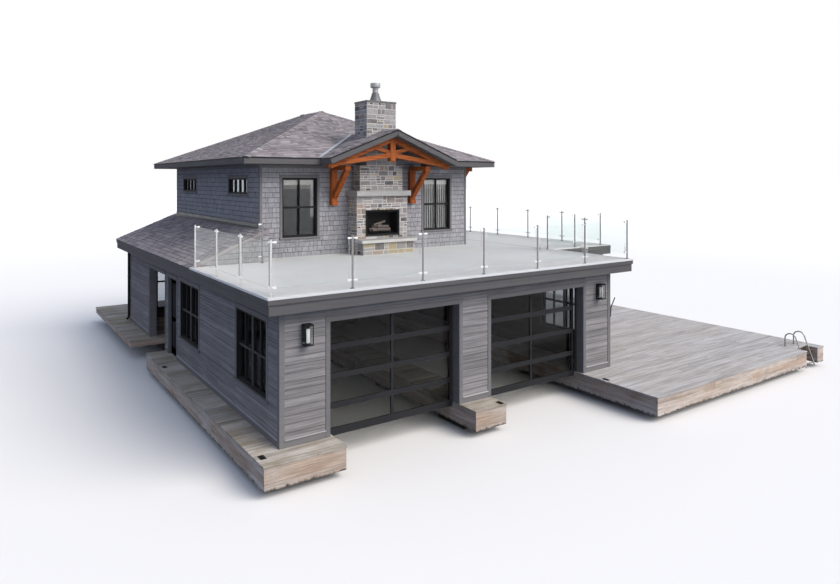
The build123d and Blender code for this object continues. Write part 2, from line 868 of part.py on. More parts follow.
# Front gable roof, open at the truss and let into the front slope of the hip roof
with BuildPart() as gable_roof:
    with BuildSketch(front(gable_front)):
        with BuildLine():
            Polyline((gable_left, gable_eave_bottom), (gable_left, gable_eave_top),
                     (gable_middle, gable_eave_top + gable_rise), (gable_right, gable_eave_top),
                     (gable_right, gable_eave_bottom), (gable_middle, gable_eave_bottom + gable_rise),
                     close=True)
        make_face()
    extrude(amount=-(gable_back - gable_front))
    add(notched_roof.part, mode=Mode.SUBTRACT)
    block(stack_left - flashing_gap, stack_right + flashing_gap, upper_breast_front - flashing_gap,
          stack_back + flashing_gap, soffit_height, stack_top, mode=Mode.SUBTRACT)
    block(gable_middle - butt_joint / 2, gable_middle + butt_joint / 2, gable_front, gable_back,
          soffit_height, stack_top, mode=Mode.SUBTRACT)
save(gable_roof.part, "gable_roof")


# Cabin walls, with the front wall carried up under the gable
cabin_sill = terrace_height + cabin_window_sill
cabin_head = soffit_height - cabin_head_drop
left_cabin_window = cabin_left + left_cabin_window_gap
cabin_front_openings = [
    (left_cabin_window, left_cabin_window + cabin_window_width),
    (cabin_right - right_cabin_window_gap - cabin_window_width, cabin_right - right_cabin_window_gap)]
with BuildPart() as cabin_front_wall:
    with BuildSketch(front(cabin_front)):
        area(cabin_left, cabin_right, terrace_height, soffit_height)
        with BuildLine():
            Polyline((gable_left, gable_eave_bottom), (gable_middle, gable_eave_bottom + gable_rise),
                     (gable_right, gable_eave_bottom), close=True)
        make_face()
        area(stack_left - flashing_gap, stack_right + flashing_gap, soffit_height,
             gable_eave_bottom + gable_rise, mode=Mode.SUBTRACT)
        for start, end in cabin_front_openings:
            area(start, end, cabin_sill, cabin_head, mode=Mode.SUBTRACT)
    extrude(amount=-cabin_wall)
save(cabin_front_wall.part, "cabin_front_wall")

side_sill = cabin_head - side_window_height
side_openings = [(start, start + side_window_width) for start in side_window_starts]
patio_opening = (patio_door_start, patio_door_start + patio_door_width)
with BuildPart() as cabin_left_wall:
    with BuildSketch(side(cabin_left)):
        area(cabin_front + cabin_wall, cabin_back - cabin_wall, terrace_height, soffit_height)
        for start, end in side_openings:
            area(start, end, side_sill, cabin_head, mode=Mode.SUBTRACT)
    extrude(amount=cabin_wall)
save(cabin_left_wall.part, "cabin_left_wall")

with BuildPart() as cabin_right_wall:
    with BuildSketch(side(cabin_right - cabin_wall)):
        area(cabin_front + cabin_wall, cabin_back - cabin_wall, terrace_height, soffit_height)
        area(side_openings[1][0], side_openings[1][1], side_sill, cabin_head, mode=Mode.SUBTRACT)
        area(*patio_opening, terrace_height, cabin_head, mode=Mode.SUBTRACT)
    extrude(amount=cabin_wall)
save(cabin_right_wall.part, "cabin_right_wall")

with BuildPart() as cabin_rear_wall:
    with BuildSketch(front(cabin_back - cabin_wall)):
        area(cabin_left, cabin_right, terrace_height, soffit_height)
        for start, end in cabin_front_openings:
            area(start, end, cabin_sill, cabin_head, mode=Mode.SUBTRACT)
    extrude(amount=-cabin_wall)
save(cabin_rear_wall.part, "cabin_rear_wall")

# Cabin window frames and the patio door frame
with BuildPart() as cabin_window_frames:
    with BuildSketch(front(cabin_front + frame_setback)):
        for start, end in cabin_front_openings:
            single_sash(start, end, cabin_sill, cabin_head)
    extrude(amount=-frame_depth)
    with BuildSketch(front(cabin_back - frame_setback - frame_depth)):
        for start, end in cabin_front_openings:
            single_sash(start, end, cabin_sill, cabin_head)
    extrude(amount=-frame_depth)
    with BuildSketch(side(cabin_left + frame_setback)):
        for start, end in side_openings:
            light_row(start, end, side_sill, cabin_head)
    extrude(amount=frame_depth)
    with BuildSketch(side(cabin_right - frame_setback - frame_depth)):
        light_row(*side_openings[1], side_sill, cabin_head)
        window_bars(*patio_opening, terrace_height, cabin_head,
                    [(patio_door_start + patio_door_width / 2, mullion)], [])
    extrude(amount=frame_depth)
save(cabin_window_frames.part, "cabin_window_frames")

glass_inset = frame_setback + frame_depth
with BuildPart() as cabin_glass:
    for face in (cabin_front + glass_inset, cabin_back - glass_inset - pane):
        with BuildSketch(front(face)):
            for start, end in cabin_front_openings:
                area(start, end, cabin_sill, cabin_head)
        extrude(amount=-pane)
    with BuildSketch(side(cabin_left + glass_inset)):
        for start, end in side_openings:
            area(start, end, side_sill, cabin_head)
    extrude(amount=pane)
    with BuildSketch(side(cabin_right - glass_inset - pane)):
        area(*side_openings[1], side_sill, cabin_head)
        area(*patio_opening, terrace_height, cabin_head)
    extrude(amount=pane)
save(cabin_glass.part, "cabin_glass")


# Timber truss under the gable: rafters, cambered tie, king post and struts
truss_soffit_peak = gable_eave_bottom + gable_rise
with BuildPart() as truss:
    with BuildSketch(front(truss_front)):
        for way in (-1, 1):
            eave_x = gable_middle + way * (gable_right - gable_left) / 2
            tie_end_x = eave_x - way * tie_overhang
            rafter_drop = rafter_depth * (1 + gable_pitch ** 2) ** 0.5
            with BuildLine():
                Polyline((gable_middle, truss_soffit_peak), (eave_x, gable_eave_bottom),
                         (eave_x, gable_eave_bottom - fascia_board),
                         (gable_middle, truss_soffit_peak - rafter_drop), close=True)
            make_face()
            with BuildLine():
                Polyline((tie_end_x, tie_end_low), (gable_middle, tie_middle_low),
                         (gable_middle, tie_middle_low + tie_depth),
                         (tie_end_x, tie_end_low + tie_depth / 2), close=True)
            make_face()
            strut_foot_x = gable_middle + way * king_post / 2
            strut_head_x = strut_foot_x + way * strut_run
            strut_head = truss_soffit_peak - (strut_run + king_post / 2) * gable_pitch
            with BuildLine():
                Polyline((strut_foot_x - way * king_post / 2, strut_foot),
                         (strut_foot_x - way * king_post / 2, strut_foot + strut_depth),
                         (strut_head_x, strut_head), (strut_head_x, strut_head - strut_depth), close=True)
            make_face()
        area(gable_middle - king_post / 2, gable_middle + king_post / 2, king_foot,
             truss_soffit_peak - king_post / 2 * gable_pitch)
    extrude(amount=-timber)
save(truss.part, "truss")

# Brackets from the cabin wall out to the truss, one each side of the fireplace
brackets = []
bracket_reach = mantel_width / 2 + bracket_gap
bracket_lines = (fireplace_centre - bracket_reach, fireplace_centre + bracket_reach)
truss_back = truss_front + timber
with BuildPart() as timber_brackets:
    for across in bracket_lines:
        with BuildSketch(side(across)):
            area(cabin_front - bracket_post, cabin_front, bracket_foot, gable_eave_bottom)
            area(truss_back, cabin_front, gable_eave_bottom - bracket_post, gable_eave_bottom)
            with BuildLine():
                Polyline((cabin_front - bracket_post, brace_foot),
                         (truss_back, gable_eave_bottom - bracket_post),
                         (truss_back + brace_depth, gable_eave_bottom - bracket_post),
                         (cabin_front - bracket_post, brace_foot + 2 * brace_depth), close=True)
            make_face()
        extrude(amount=bracket_post / 2, both=True)
save(timber_brackets.part, "timber_brackets")


# Fireplace: raised hearth, stone breast with an open firebox, mantel and upper breast
breast_left = fireplace_centre - lower_breast_width / 2
breast_right = fireplace_centre + lower_breast_width / 2
breast_front = cabin_front - lower_breast_depth
mantel_bottom = terrace_height + mantel_top - mantel_thickness
firebox_left = fireplace_centre - firebox_width / 2
firebox_right = fireplace_centre + firebox_width / 2
hearth_top = terrace_height + hearth_height
with BuildPart() as hearth:
    block(fireplace_centre - hearth_width / 2 + hearth_slab, fireplace_centre + hearth_width / 2 - hearth_slab,
          cabin_front - hearth_depth + hearth_slab, breast_front, terrace_height, hearth_top - hearth_slab)
    block(fireplace_centre - hearth_width / 2, fireplace_centre + hearth_width / 2,
          cabin_front - hearth_depth, breast_front, hearth_top - hearth_slab, hearth_top)
save(hearth.part, "hearth")

with BuildPart() as fireplace:
    block(breast_left, breast_right, breast_front, cabin_front, terrace_height, mantel_bottom)
    block(firebox_left, firebox_right, breast_front, breast_front + firebox_depth,
          terrace_height + firebox_bottom, terrace_height + firebox_top, mode=Mode.SUBTRACT)
save(fireplace.part, "fireplace")

with BuildPart() as firebox:
    block(firebox_left, firebox_right, breast_front, breast_front + firebox_depth,
          terrace_height + firebox_bottom, terrace_height + firebox_top)
    block(firebox_left + firebox_lining, firebox_right - firebox_lining, breast_front,
          breast_front + firebox_depth - firebox_lining, terrace_height + firebox_bottom + firebox_lining,
          terrace_height + firebox_top - firebox_lining, mode=Mode.SUBTRACT)
save(firebox.part, "firebox")

with BuildPart() as mantel:
    block(fireplace_centre - mantel_width / 2, fireplace_centre + mantel_width / 2,
          cabin_front - mantel_depth, cabin_front, mantel_bottom, mantel_bottom + mantel_thickness)
save(mantel.part, "mantel")

with BuildPart() as chimney_breast:
    block(fireplace_centre - upper_breast_width / 2, fireplace_centre + upper_breast_width / 2,
          upper_breast_front, cabin_front, mantel_bottom + mantel_thickness, soffit_height)
save(chimney_breast.part, "chimney_breast")

# Chimney stack above the breast, with its thin cap, and the flue on its skirt
with BuildPart() as chimney_stack:
    block(stack_left, stack_right, upper_breast_front, cabin_front, soffit_height, stack_top)
    block(stack_left, stack_right, cabin_front, stack_back, soffit_height, stack_top)
save(chimney_stack.part, "chimney_stack")

flue_y = (upper_breast_front + stack_back) / 2
with BuildPart() as chimney_cap:
    block(stack_left - cap_overhang, stack_right + cap_overhang, upper_breast_front - cap_overhang,
          stack_back + cap_overhang, stack_top, stack_top + cap_thickness)
save(chimney_cap.part, "chimney_cap")

skirt_bottom = stack_top + cap_thickness
pipe_bottom = skirt_bottom + flue_skirt_height
flue_cap_bottom = pipe_bottom + flue_pipe_height
flue_top = flue_cap_bottom + flue_cap_height
with BuildPart() as flue:
    with BuildSketch(front(flue_y)):
        with BuildLine():
            Polyline((fireplace_centre, skirt_bottom), (fireplace_centre + flue_skirt / 2, skirt_bottom),
                     (fireplace_centre + flue_collar / 2, pipe_bottom),
                     (fireplace_centre + flue_pipe / 2, pipe_bottom),
                     (fireplace_centre + flue_pipe / 2, flue_cap_bottom),
                     (fireplace_centre + flue_cap / 2, flue_cap_bottom),
                     (fireplace_centre + flue_cap / 2, flue_top), (fireplace_centre, flue_top), close=True)
        make_face()
    revolve(axis=Axis((plan_x + fireplace_centre, plan_y + flue_y, 0), (0, 0, 1)))
save(flue.part, "flue")


# Lanterns on the front piers: back plate, housing and a sloped cap
with BuildPart() as lanterns:
    for middle in (lantern_left, lantern_right):
        block(middle - lantern_width / 2, middle + lantern_width / 2, -lantern_plate, 0,
              lantern_bottom, lantern_top)
        block(middle - lantern_width / 2, middle + lantern_width / 2, -lantern_depth, -lantern_plate,
              lantern_bottom + lantern_plate, lantern_top - lantern_plate)
        block(middle - lantern_width / 2, middle + lantern_width / 2, -lantern_depth - lantern_plate, 0,
              lantern_top - lantern_plate, lantern_top)
save(lanterns.part, "lanterns")
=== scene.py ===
import math
import random

import bpy
from mathutils import Matrix, Vector


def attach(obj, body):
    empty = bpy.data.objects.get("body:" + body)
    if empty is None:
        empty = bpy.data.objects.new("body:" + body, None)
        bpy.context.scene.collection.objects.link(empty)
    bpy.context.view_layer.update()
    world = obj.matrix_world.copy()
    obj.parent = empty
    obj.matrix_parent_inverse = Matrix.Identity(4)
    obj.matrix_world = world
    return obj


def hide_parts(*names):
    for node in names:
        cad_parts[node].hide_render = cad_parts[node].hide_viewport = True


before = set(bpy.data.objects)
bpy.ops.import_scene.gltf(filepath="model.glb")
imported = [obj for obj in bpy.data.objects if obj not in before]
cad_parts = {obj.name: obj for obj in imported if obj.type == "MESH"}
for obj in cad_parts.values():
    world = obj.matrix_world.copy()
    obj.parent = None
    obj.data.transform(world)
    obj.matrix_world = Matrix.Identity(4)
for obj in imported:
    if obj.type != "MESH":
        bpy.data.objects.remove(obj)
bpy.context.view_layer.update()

# Lengths are metres. Places are measured from the front left corner of the lower
# walls at the top of the dock boards, X right, Y back, Z up; HOUSE is that corner.
# Plans are given as left, right, near and far.
HOUSE = Vector((-8.125, -7.53, 0.62))

# Docks
LEFT_DOCK = (-0.565, 1.05, -0.6, 8.8)
CENTRE_DOCK = (4.36, 5.3, -0.6, 10.6)
RIGHT_DOCK = (8.49, 16.92, -2.34, 14.7)
REAR_DOCK = (-0.67, 8.49, 10.6, 17.4)
DOCK_DEPTH, REAR_DOCK_DEPTH = 0.47, 0.23
LIP_RIGHT, LIP_BACK = 1.14, 0.2
SLOT_LEFT, SLOT_RIGHT, SLOT_BACK = 15.85, 16.515, -1.88
PLANK, PLANK_GAP, PLANK_THICKNESS = 0.187, 0.009, 0.04
FACING_THICKNESS, NOSING, END_GAP = 0.04, 0.015, 0.003
JOIST, JOIST_SPACING, JOIST_INSET, JOIST_LIFT = 0.07, 0.61, 0.06, 0.03

# Lower storey
WIDTH, DEPTH, WALL, CEILING = 9.62, 14.08, 0.2, 2.64
OPENING_HEAD = 2.32
BOAT_OPENINGS = ((1.05, 4.36), (5.3, 8.56))
SIDE_WINDOWS = ((0.66, 2.43), (5.32, 7.06))
WINDOW_SILL, WINDOW_HEAD = 0.75, 2.33
SIDE_DOOR, SIDE_SLIP, SIDE_DOOR_HEAD = (7.48, 8.39), (8.8, 10.85), 2.29
REAR_SLIM_WINDOWS, REAR_SLIM_SILL = ((0.9, 1.8), (7.82, 8.72)), 0.3
REAR_WIDE_WINDOW = (3.925, 5.695)
SIDING_FOOT, SIDING_EXPOSURE, SIDING_PROUD = 0.124, 0.162, 0.018
CASING_WIDTH, CASING_PROUD, SILL_BOARD = 0.09, 0.026, 0.05
CORNER_BOARD, BASE_BOARD, LEDGE = 0.085, 0.155, 0.018
RING, RING_PROUD, LINER = 0.035, 0.012, 0.014
TUCK = 0.002

# Terrace, side deck and guard rail
TERRACE = 2.97
TERRACE_EDGES = (-0.4, 10.13, -0.4, 14.48)
SIDE_DECK = (10.13, 12.8, 2.52, 13.33)
RAIL_HEIGHT, RAIL_BAY = 1.07, 1.725
CLIP_HEIGHTS = (0.176, 1.019)

# Cabin and its roofs
CABIN = (1.7, 8.93, 5.47, 14.1)
SOFFIT, EAVE = 5.58, 5.77
ROOF = (1.02, 9.61, 4.79, 14.78)
PITCH = 5 / 12
SKIRT = (-0.4, 1.7, 4.78, 14.48)
SKIRT_HEAD = TERRACE + (SKIRT[1] - SKIRT[0]) * PITCH
GABLE, GABLE_MIDDLE, GABLE_FRONT = (3.19, 7.44), 5.315, 4.08
GABLE_RISE, GABLE_PITCH = 0.85, 0.4
CABIN_FRONT_WINDOWS = ((2.34, 3.42), (7.19, 8.27))
CABIN_SIDE_WINDOWS = ((6.44, 8.06), (11.54, 13.16))
PATIO_DOOR = (8.6, 11.0)
CABIN_SILL, CABIN_HEAD, CABIN_HIGH_SILL = 3.52, 5.21, 4.74
CABIN_CASING, CABIN_CORNER, CABIN_PROUD = 0.07, 0.05, 0.024
SHINGLE_EXPOSURE, ROOF_EXPOSURE = 0.1413, 0.14

# Truss, fireplace and chimney
TRUSS_Y, TRUSS_THICK = 4.41, 0.16
HEARTH_TOP, HEARTH_FRONT = 3.4, 4.55
MANTEL_BOTTOM, MANTEL_TOP = 4.67, 4.83
FIREBOX = (4.77, 5.86, 3.525, 4.216)
BREAST_FRONT, UPPER_BREAST_FRONT = 4.92, 4.98
STACK = (4.805, 5.825, 4.98, 5.71)
STACK_TOP, CAP_TOP = 7.47, 7.53


# Making and placing

def only(*pieces):
    bpy.ops.object.select_all(action="DESELECT")
    for piece in pieces:
        piece.select_set(True)
    bpy.context.view_layer.objects.active = pieces[0]


def open_all(piece):
    """Edit mode with the whole piece selected."""
    only(piece)
    bpy.ops.object.mode_set(mode="EDIT")
    bpy.ops.mesh.select_all(action="SELECT")


def close():
    bpy.ops.object.mode_set(mode="OBJECT")


def roughen(piece, cuts, offset, seed):
    """Cuts the faces up and shifts their corners a little."""
    open_all(piece)
    bpy.ops.mesh.subdivide(number_cuts=cuts)
    bpy.ops.transform.vertex_random(offset=offset, uniform=1.0, normal=0.0, seed=seed)
    close()
    return piece


def push(piece, wanted, shift):
    """Moves the wanted corners of a piece."""
    open_all(piece)
    bpy.ops.mesh.select_mode(type="VERT")
    bpy.ops.mesh.select_all(action="DESELECT")
    close()
    for vertex in piece.data.vertices:
        vertex.select = wanted(vertex.co)
    bpy.ops.object.mode_set(mode="EDIT")
    bpy.ops.transform.translate(value=shift)
    close()
    return piece


def ease_edges(piece, width, segments):
    modifier = piece.modifiers.new("bevel", "BEVEL")
    modifier.width, modifier.segments = width, segments
    modifier.limit_method, modifier.angle_limit = "ANGLE", math.radians(35)
    only(piece)
    bpy.ops.object.modifier_apply(modifier=modifier.name)


def complete(piece, finish, slot, place=Matrix.Identity(4), rough=None, ease=0, segments=1, smooth=0,
             cuts=(), stands_for=(), body="root"):
    """Finishes a piece's edges, moves it to its place on the house, saws off what lies on
    the outward side of each cut, and gives it its looks."""
    if rough:
        roughen(piece, *rough)
    if ease:
        ease_edges(piece, ease, segments)
    only(piece)
    if smooth:
        bpy.ops.object.shade_smooth_by_angle(angle=math.radians(smooth))
    piece.matrix_world = Matrix.Translation(HOUSE) @ place
    bpy.ops.object.transform_apply(location=True, rotation=True, scale=True)
    for point, outward in cuts:
        open_all(piece)
        bpy.ops.mesh.bisect(plane_co=Vector(point) + HOUSE, plane_no=Vector(outward), use_fill=True,
                            clear_outer=True)
        close()
    piece.data.materials.clear()
    piece.data.materials.append(finish)
    if stands_for:
        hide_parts(*stands_for)
    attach(piece, body)


def build(name, parts, finish, slot, **how):
    """One piece joined from many parts, completed as the rest says."""
    only(*parts)
    if len(parts) > 1:
        bpy.ops.object.join()
    piece = bpy.context.view_layer.objects.active
    piece.name = piece.data.name = name
    complete(piece, finish, slot, **how)


def placed(pattern, matrix):
    """A copy of a pattern with its own mesh, put in place by a matrix."""
    copy = bpy.data.objects.new(pattern.name, pattern.data.copy())
    copy.data.transform(matrix)
    if matrix.determinant() < 0:
        copy.data.flip_normals()
    bpy.context.scene.collection.objects.link(copy)
    return copy


def blocks(boxes, pattern=None):
    """Copies of a one-metre pattern, each stretched into its own box."""
    return [placed(pattern or BLOCK, Matrix.LocRotScale(Vector(low), None, Vector(high) - Vector(low)))
            for low, high in boxes]


def level_boxes(plans, low, high):
    return [((left, near, low), (right, far, high)) for left, right, near, far in plans]


def axes(along, across, up, corner):
    turned = Matrix((along, across, up)).transposed().to_4x4()
    turned.translation = Vector(corner)
    return turned


def beam(start, end, across, width, depth):
    """A timber: the one-metre block laid along a line."""
    start, end, across = Vector(start), Vector(end), Vector(across).normalized()
    along = end - start
    up = along.normalized().cross(across)
    return placed(BLOCK, axes(along, across * width, up * depth, start - across * width / 2 - up * depth / 2))


def rod(start, end, radius, pattern=None):
    """A round bar: the one-metre rod laid along a line."""
    along = Vector(end) - Vector(start)
    side = along.orthogonal().normalized()
    return placed(pattern or ROD, axes(side * radius, along.normalized().cross(side) * radius, along, start))


def wall_frame(x, y, turn):
    """Frame of a wall seen square on: X along it from its left end, -Y outwards."""
    return Matrix.Translation((x, y, 0)) @ Matrix.Rotation(math.radians(turn), 4, "Z")


def slope_frame(corner, along, up):
    """Frame of a roof slope: X along its eave, Y up the slope, Z outwards."""
    along, up = Vector(along).normalized(), Vector(up).normalized()
    return axes(along, up, along.cross(up), corner)


# Patterns, each modelled once and then copied into place

patterns = []


def keep_pattern(name, add, **shape):
    bpy.ops.object.select_all(action="DESELECT")
    add(**shape)
    bpy.ops.object.transform_apply(location=True)
    pattern = bpy.context.view_layer.objects.active
    pattern.name = name
    patterns.append(pattern)
    return pattern


def block_pattern(name):
    return keep_pattern(name, bpy.ops.mesh.primitive_cube_add, size=1, location=(0.5, 0.5, 0.5))


def rod_pattern(name, sides):
    return keep_pattern(name, bpy.ops.mesh.primitive_cylinder_add, vertices=sides, radius=1, depth=1,
                        location=(0, 0, 0.5))


def cap_pattern(fold, width=0.27, length=0.2, thick=0.012):
    """A ridge cap folded over a hip or ridge, X across it and Y along it."""
    pattern = keep_pattern("cap", bpy.ops.mesh.primitive_cube_add, size=1,
                           location=(0, length / 2, thick / 2), scale=(width, length, thick))
    open_all(pattern)
    bpy.ops.mesh.bisect(plane_co=(0, 0, 0), plane_no=(1, 0, 0))
    close()
    return push(pattern, lambda place: abs(place.x) > width / 4, (0, 0, -width / 2 * math.tan(fold)))


BLOCK = block_pattern("block")
LAP, WALL_SHINGLE = (push(block_pattern(name), lambda place: place.y < 0.5 and place.z > 0.5, (0, thinner, 0))
                     for name, thinner in (("lap", 0.4), ("wall_shingle", 0.55)))
TAB = push(block_pattern("tab"), lambda place: place.y > 0.5 and place.z > 0.5, (0, 0, -0.8))
STONES = [roughen(block_pattern(f"stone_{seed}"), 2, 0.03, seed) for seed in (3, 8, 14, 21, 30)]
ROD = rod_pattern("rod", 20)
PEG = rod_pattern("peg", 10)


# Finishes

class Nodes:
    """Short calls that add nodes to one tree."""

    def __init__(self, tree):
        self.tree = tree

    def wire(self, socket, value):
        if isinstance(value, bpy.types.NodeSocket):
            self.tree.links.new(value, socket)
        else:
            socket.default_value = (*value, 1.0) if socket.type == "RGBA" else value

    def add(self, kind, inputs=None, **settings):
        made = self.tree.nodes.new("ShaderNode" + kind)
        for key, value in settings.items():
            setattr(made, key, value)
        for key, value in (inputs or {}).items():
            self.wire(made.inputs[key], value)
        return made.outputs

    def maths(self, operation, first, second=0.0, clamp=False):
        return self.add("Math", {0: first, 1: second}, operation=operation, use_clamp=clamp)[0]

    def times(self, first, second):
        return self.maths("MULTIPLY", first, second)

    def plus(self, first, second, clamp=False):
        return self.maths("ADD", first, second, clamp)

    def between(self, value, low, high, start=0.0, end=1.0):
        return self.add("MapRange", {"Value": value, "From Min": low, "From Max": high, "To Min": start,
                                     "To Max": end})[0]

    def blend(self, share, first, second):
        return self.add("Mix", {"Factor": share, 6: first, 7: second}, data_type="RGBA")[2]

    def stain(self, colour, mask, strength, over):
        """A colour with another laid over it where a mask is high."""
        return self.blend(self.times(mask, strength), colour, over)

    def ramp(self, share, stops, interpolation):
        """Colours picked from a scale."""
        made = self.add("ValToRGB", {"Fac": share})[0]
        scale = made.node.color_ramp
        scale.interpolation = interpolation
        for number, (spot, colour) in enumerate((stops[0], stops[-1])):
            scale.elements[number].position, scale.elements[number].color = spot, (*colour, 1.0)
        for spot, colour in stops[1:-1]:
            scale.elements.new(spot).color = (*colour, 1.0)
        return made

    def noise(self, vector, scale, detail, roughness=0.5, distortion=0.0):
        return self.add("TexNoise", {"Vector": vector, "Scale": scale, "Detail": detail,
                                     "Roughness": roughness, "Distortion": distortion})[0]

    def place(self):
        return self.add("TexCoord")["Object"]

    def split(self, vector):
        return self.add("SeparateXYZ", {0: vector})

    def merge(self, x, y, z=0.0):
        return self.add("CombineXYZ", {"X": x, "Y": y, "Z": z})[0]

    def island(self):
        """A number that each separate board, shingle or stone has for itself."""
        return self.add("NewGeometry")["Random Per Island"]

    def use(self, group, **inputs):
        return self.add("Group", {key.replace("_", " "): value for key, value in inputs.items()},
                        node_tree=group)

    def bump(self, surface, height, depth):
        self.wire(surface["Normal"], self.add("Bump", {"Height": height, "Distance": depth})[0])

    def seen(self):
        """1 on rays that show a thing itself, 0 on those that gather the light from it."""
        rays = self.add("LightPath")
        return self.maths("MAXIMUM", rays["Is Camera Ray"],
                          self.maths("MAXIMUM", rays["Is Glossy Ray"], rays["Is Transmission Ray"]))


def new_group(name, inputs, outputs):
    group = bpy.data.node_groups.new(name, "ShaderNodeTree")
    for way, labels in (("INPUT", inputs), ("OUTPUT", outputs)):
        for label in labels:
            group.interface.new_socket(name=label, in_out=way, socket_type="NodeSocketFloat")
    return Nodes(group), group.nodes.new("NodeGroupInput").outputs, group.nodes.new("NodeGroupOutput").inputs


def grain_group():
    """Streaks, fibres and knots that run along level boards, whichever wall they are on."""
    t, given, result = new_group("board_grain", ("Board", "Length", "Fineness"),
                                 ("Streaks", "Fibres", "Knots"))
    place = t.add("TexCoord")
    spot, facing = t.split(place["Object"]), t.split(place["Normal"])
    sideways = t.maths("GREATER_THAN", t.maths("ABSOLUTE", facing["X"]), 0.5)
    along = t.add("Mix", {0: sideways, 2: spot["X"], 3: spot["Y"]})[0]
    across = t.add("Mix", {0: sideways, 2: spot["Y"], 3: spot["X"]})[0]
    shift = t.times(given["Board"], 83.0)
    line = t.merge(t.plus(t.times(along, given["Length"]), shift), t.times(across, given["Fineness"]),
                   t.times(spot["Z"], given["Fineness"]))
    cells = t.add("TexVoronoi", {"Vector": t.merge(t.plus(t.times(along, 2.2), shift), t.times(across, 3.4),
                                                   t.times(spot["Z"], 3.4)), "Scale": 1.0})
    t.wire(result["Streaks"], t.between(t.noise(line, 1.0, 5.0, 0.6), 0.35, 0.68))
    t.wire(result["Fibres"], t.between(t.noise(line, 4.3, 3.0, 0.7), 0.3, 0.7))
    t.wire(result["Knots"], t.between(cells["Distance"], 0.075, 0.035))
    return t.tree


def weather_group():
    """Broad patches and small speckles that the weather leaves on any surface."""
    t, given, result = new_group("weathering", ("Size", "Speckle Size"), ("Patches", "Speckles"))
    place = t.place()
    t.wire(result["Patches"], t.between(t.noise(place, given["Size"], 6.0, 0.62, 0.4), 0.38, 0.66))
    t.wire(result["Speckles"], t.between(t.noise(place, given["Speckle Size"], 2.0), 0.34, 0.68))
    return t.tree


def splash_group():
    """How near a spot is to one height, with a wavy limit, for waterlines and splash."""
    t, given, result = new_group("splash", ("Dry", "Wet"), ("Mask",))
    place = t.place()
    height = t.plus(t.split(place)["Z"], t.between(t.noise(place, 11.0, 6.0, 0.75), 0.3, 0.7, -0.06, 0.06))
    t.wire(result["Mask"], t.between(height, given["Dry"], given["Wet"]))
    return t.tree


def painted_course_shade_group():
    """Painted shade near the top of each course, where the next one laps over it."""
    t, given, result = new_group("painted_course_shade", ("Foot", "Exposure"), ("Mask",))
    place = t.place()
    rise = t.maths("SUBTRACT", t.split(place)["Z"], given["Foot"])
    # This darkens the top of each course as painted shade under the next course's butt.
    band = t.between(t.maths("FRACT", t.maths("DIVIDE", rise, given["Exposure"])), 0.80, 0.96)
    t.wire(result["Mask"], t.times(band, t.between(t.noise(place, 3.5, 3.0), 0.3, 0.7, 0.6, 1.0)))
    return t.tree


GRAIN = grain_group()
WEATHER = weather_group()
SPLASH = splash_group()
PAINTED_COURSE_SHADE = painted_course_shade_group()
WET = (0.035, 0.034, 0.022)


def new_finish(name, **fixed):
    finish = bpy.data.materials.new(name)
    finish.use_nodes = True
    t, surface = Nodes(finish.node_tree), finish.node_tree.nodes["Principled BSDF"].inputs
    for key, value in fixed.items():
        t.wire(surface[key.replace("_", " ")], value)
    return finish, t, surface


def board_finish(name, main, second, dark, length=0.7, fineness=16.0, spread=0.35, streaks=0.5, knots=0.0,
                 patches=0.4, patch_size=0.9, splash=None, courses=None, depth=0.0016, roughness=0.75):
    """Boards that each differ a little, with grain along them, knots, and weathering, and with painted shade
    near the top of each course where courses are given.
    """
    finish, t, surface = new_finish(name, Roughness=roughness, Specular_IOR_Level=0.1)
    island = t.island()
    grain = t.use(GRAIN, Board=island, Length=length, Fineness=fineness)
    worn = t.use(WEATHER, Size=patch_size, Speckle_Size=60.0)
    share = t.plus(t.times(island, spread * 1.6), t.times(worn["Patches"], patches), clamp=True)
    colour = t.blend(share, main, second)
    for label, strength in (("Streaks", streaks), ("Fibres", streaks * 0.45), ("Knots", knots)):
        if strength:
            colour = t.stain(colour, grain[label], strength, dark)
    if courses:
        # Painted shade: each course is darkened towards its top, where the next one laps over it.
        foot, exposure, strength = courses
        mask = t.use(PAINTED_COURSE_SHADE, Foot=foot, Exposure=exposure)["Mask"]
        colour = t.stain(colour, mask, strength, tuple(part * 0.5 for part in dark))
    if splash:
        colour = t.stain(colour, t.use(SPLASH, Dry=splash[0], Wet=splash[1])["Mask"], 0.9, WET)
    tone = t.between(t.maths("FRACT", t.times(island, 17.3)), 0.0, 1.0, 1.0 - spread * 0.45,
                     1.0 + spread * 0.3)
    t.wire(surface["Base Color"], t.add("HueSaturation", {"Color": colour, "Value": tone})[0])
    t.wire(surface["Roughness"], t.between(grain["Fibres"], 0.0, 1.0, roughness - 0.08, roughness + 0.1))
    t.bump(surface, t.plus(t.times(grain["Streaks"], -0.6), grain["Fibres"]), depth)
    return finish


def mottled_finish(name, stops, interpolation, sizes, patches, speckles, lumps, depth, **fixed):
    """Stones or shingles, each in its own colour from a scale, with patches and granules."""
    finish, t, surface = new_finish(name, **fixed)
    worn = t.use(WEATHER, Size=sizes[0], Speckle_Size=sizes[1])
    colour = t.stain(t.ramp(t.island(), stops, interpolation), worn["Patches"], *patches)
    t.wire(surface["Base Color"], t.stain(colour, worn["Speckles"], *speckles))
    t.bump(surface, t.plus(worn["Speckles"], t.times(worn["Patches"], lumps)) if lumps else worn["Speckles"],
           depth)
    return finish


def plain_finish(name, main, second, dark, patch_size=1.2, speckle_size=90.0, patches=0.5, speckles=0.3,
                 depth=0.0008, **fixed):
    """Stone, mortar, paint or metal with soft patches and fine speckle."""
    finish, t, surface = new_finish(name, **fixed)
    worn = t.use(WEATHER, Size=patch_size, Speckle_Size=speckle_size)
    colour = t.stain(main, worn["Patches"], patches, second)
    t.wire(surface["Base Color"], t.stain(colour, worn["Speckles"], speckles, dark))
    rough = fixed["Roughness"]
    t.wire(surface["Roughness"], t.between(worn["Patches"], 0.0, 1.0, rough - 0.06, rough + 0.08))
    t.bump(surface, worn["Speckles"], depth)
    return finish


